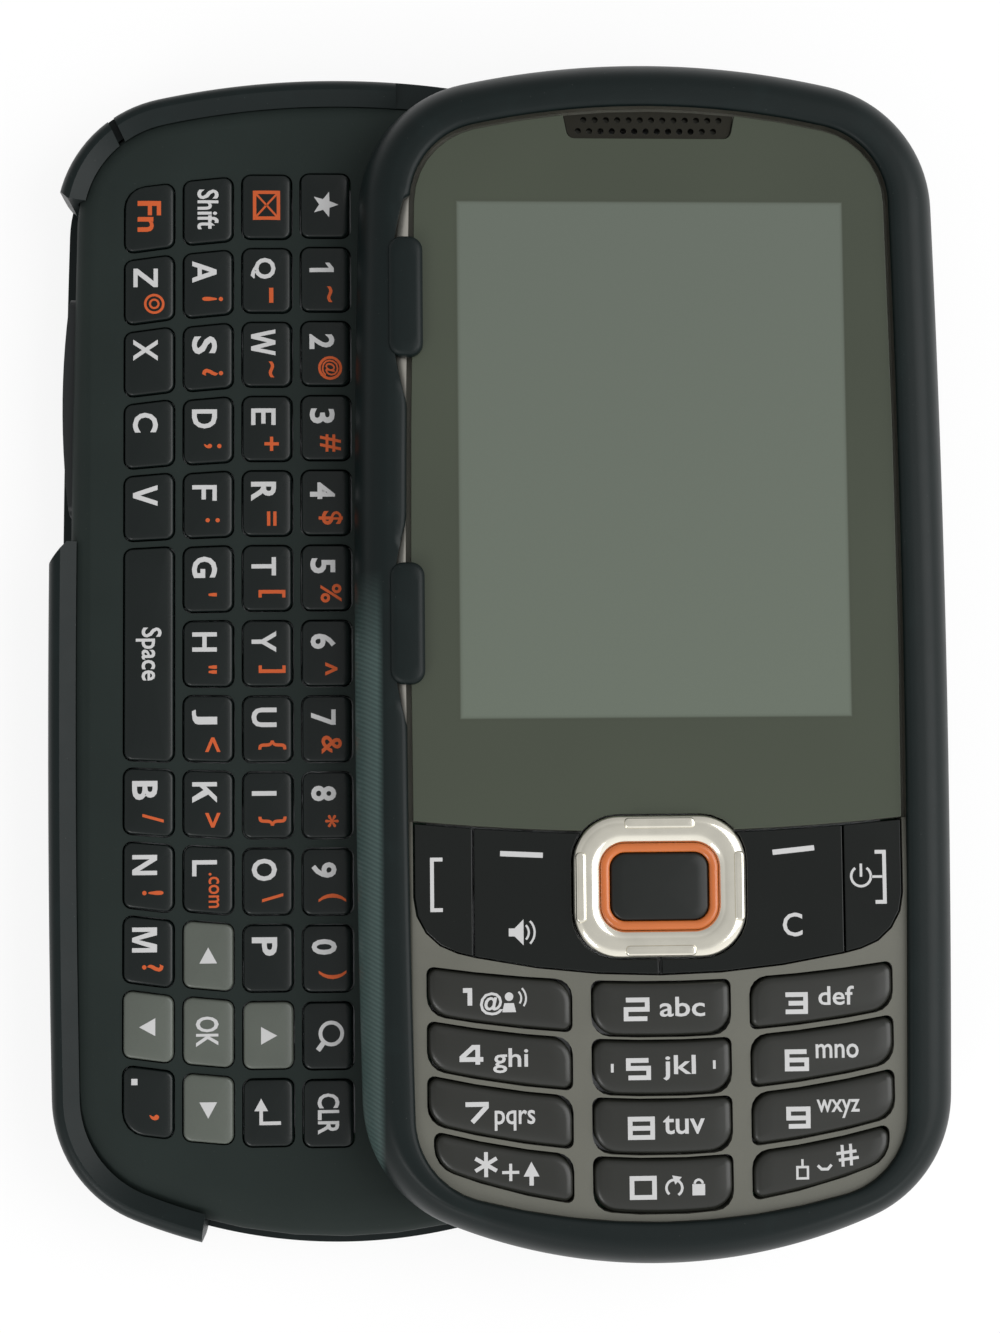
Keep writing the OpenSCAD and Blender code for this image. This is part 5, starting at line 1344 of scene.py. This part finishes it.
# The extra signs of the keys that have them
pad_signs = {
    "1": [letters("@", 2.2, (-16.05, -33.1), bold=0.02), filled(circle((-14.4, -32.45), 0.4)),
          filled([(-15.05, -33.9), (-13.75, -33.9), (-13.95, -33.05), (-14.85, -33.05)]),
          *sound_waves((-14.1, -32.6), 0.85, 1.3)],
    "5": [filled(rectangle(0.26, 0.8, middle)) for middle in ((-4.75, -39.25), (4.9, -39.05))],
    "star": [stroke([(-16.7 - c, -48.0 - s), (-16.7 + c, -48.0 + s)], 0.36)
             for c, s in np.array(((0, 1), (0.87, 0.5), (0.87, -0.5))) * 1.15]
    + [stroke([(-15.2, -48.75), (-13.6, -48.75)], 0.28),
       stroke([(-14.4, -49.55), (-14.4, -47.95)], 0.28),
       arrow_head((-12.45, -48.55), (0, 1), 1.35), stroke([(-12.45, -48.8), (-12.45, -50.0)], 0.4)],
    "0": [stroke(circle((0.95, -50.45), 0.75, -60, 230, 16), 0.24),
          arrow_head((1.25, -49.6), (0.9, 0.3), 0.85), filled(rectangle(1.2, 1.05, (3.25, -50.65))),
          stroke(circle((3.25, -50.1), 0.38, 0, 180, 10), 0.22)],
    "hash": [stroke([(16.35 + 0.2 * k, -47.55 - 0.6 * k), (18.25 + 0.2 * k, -47.3 - 0.6 * k)], 0.28)
             for k in (0, 1)]
    + [stroke([(16.9 + 0.8 * k, -46.75 + 0.1 * k), (16.95 + 0.8 * k, -48.75 + 0.1 * k)], 0.28)
       for k in (0, 1)]
    + [stroke([(14.55, -48.6), (14.9, -48.95), (15.5, -48.95), (15.85, -48.55)], 0.26),
       stroke(rectangle(1.0, 1.05, (13.1, -49.25)), 0.22, True),
       stroke([(13.1, -48.7), (13.1, -48.0)], 0.22)]}


def slid(shapes):
    """From the slider's own middle to where the open slider is."""
    return [(points + opened[:2], faces) for points, faces in shapes]


for row, side, name in number_keys:
    shapes = digit(name, pad_digits[name]) if name in pad_digits else []
    if name in pad_letters:
        small, middle, box = pad_letters[name]
        shapes.append(letters(small, 2.5, middle, box=box))
    crown = number_crown(side, row)
    inked("key_" + name + "_legend", slid(shapes + pad_signs.get(name, [])), pale_ink,
          body_of["key_" + name], lambda x, y, crown=crown: crown(x - OPEN, y), (2.0, 0.5))
print("number keys with signs:", list(pad_signs))

# %% Signs of the function keys
FUNCTION_TOP = SLIDER_TOP - 0.05
function_signs = {
    "talk_key_sign": ("talk_key", [
        stroke([(-20.55, -19.55), (-21.55, -19.55), (-21.55, -24.3), (-20.55, -24.3)], 0.36)]),
    "left_function_sign": ("left_function_key", [
        stroke([(-15.1, -19.05), (-11.05, -19.25)], 0.5),
        filled([(-14.35, -26.85), (-13.8, -26.85), (-13.8, -26.1), (-14.35, -26.1)]),
        filled([(-13.8, -26.1), (-13.8, -26.85), (-12.95, -27.7), (-12.95, -25.25)]),
        *sound_waves((-13.4, -26.48), 0.95, 1.5, half_angle=45, turn=0, steps=8, width=0.2)]),
    "right_function_sign": ("right_function_key", [
        stroke([(10.85, -19.2), (14.85, -18.8)], 0.5),
        letters("C", 3.1, (12.65, -26.05), False, 0.95)]),
    "end_key_sign": ("end_key", [
        stroke(circle((19.3, -21.55), 0.95, 125, 415, 20), 0.24),
        stroke([(19.3, -20.35), (19.3, -21.6)], 0.24),
        stroke([(20.3, -21.6), (21.35, -21.6)], 0.24),
        stroke([(20.65, -19.25), (21.55, -19.25), (21.55, -24.0), (20.65, -24.0)], 0.36)]),
}
for name, (node, shapes) in function_signs.items():
    inked(name, slid(shapes), white_ink, body_of[node], lambda x, y: FUNCTION_TOP + 0 * x, (9, 9))
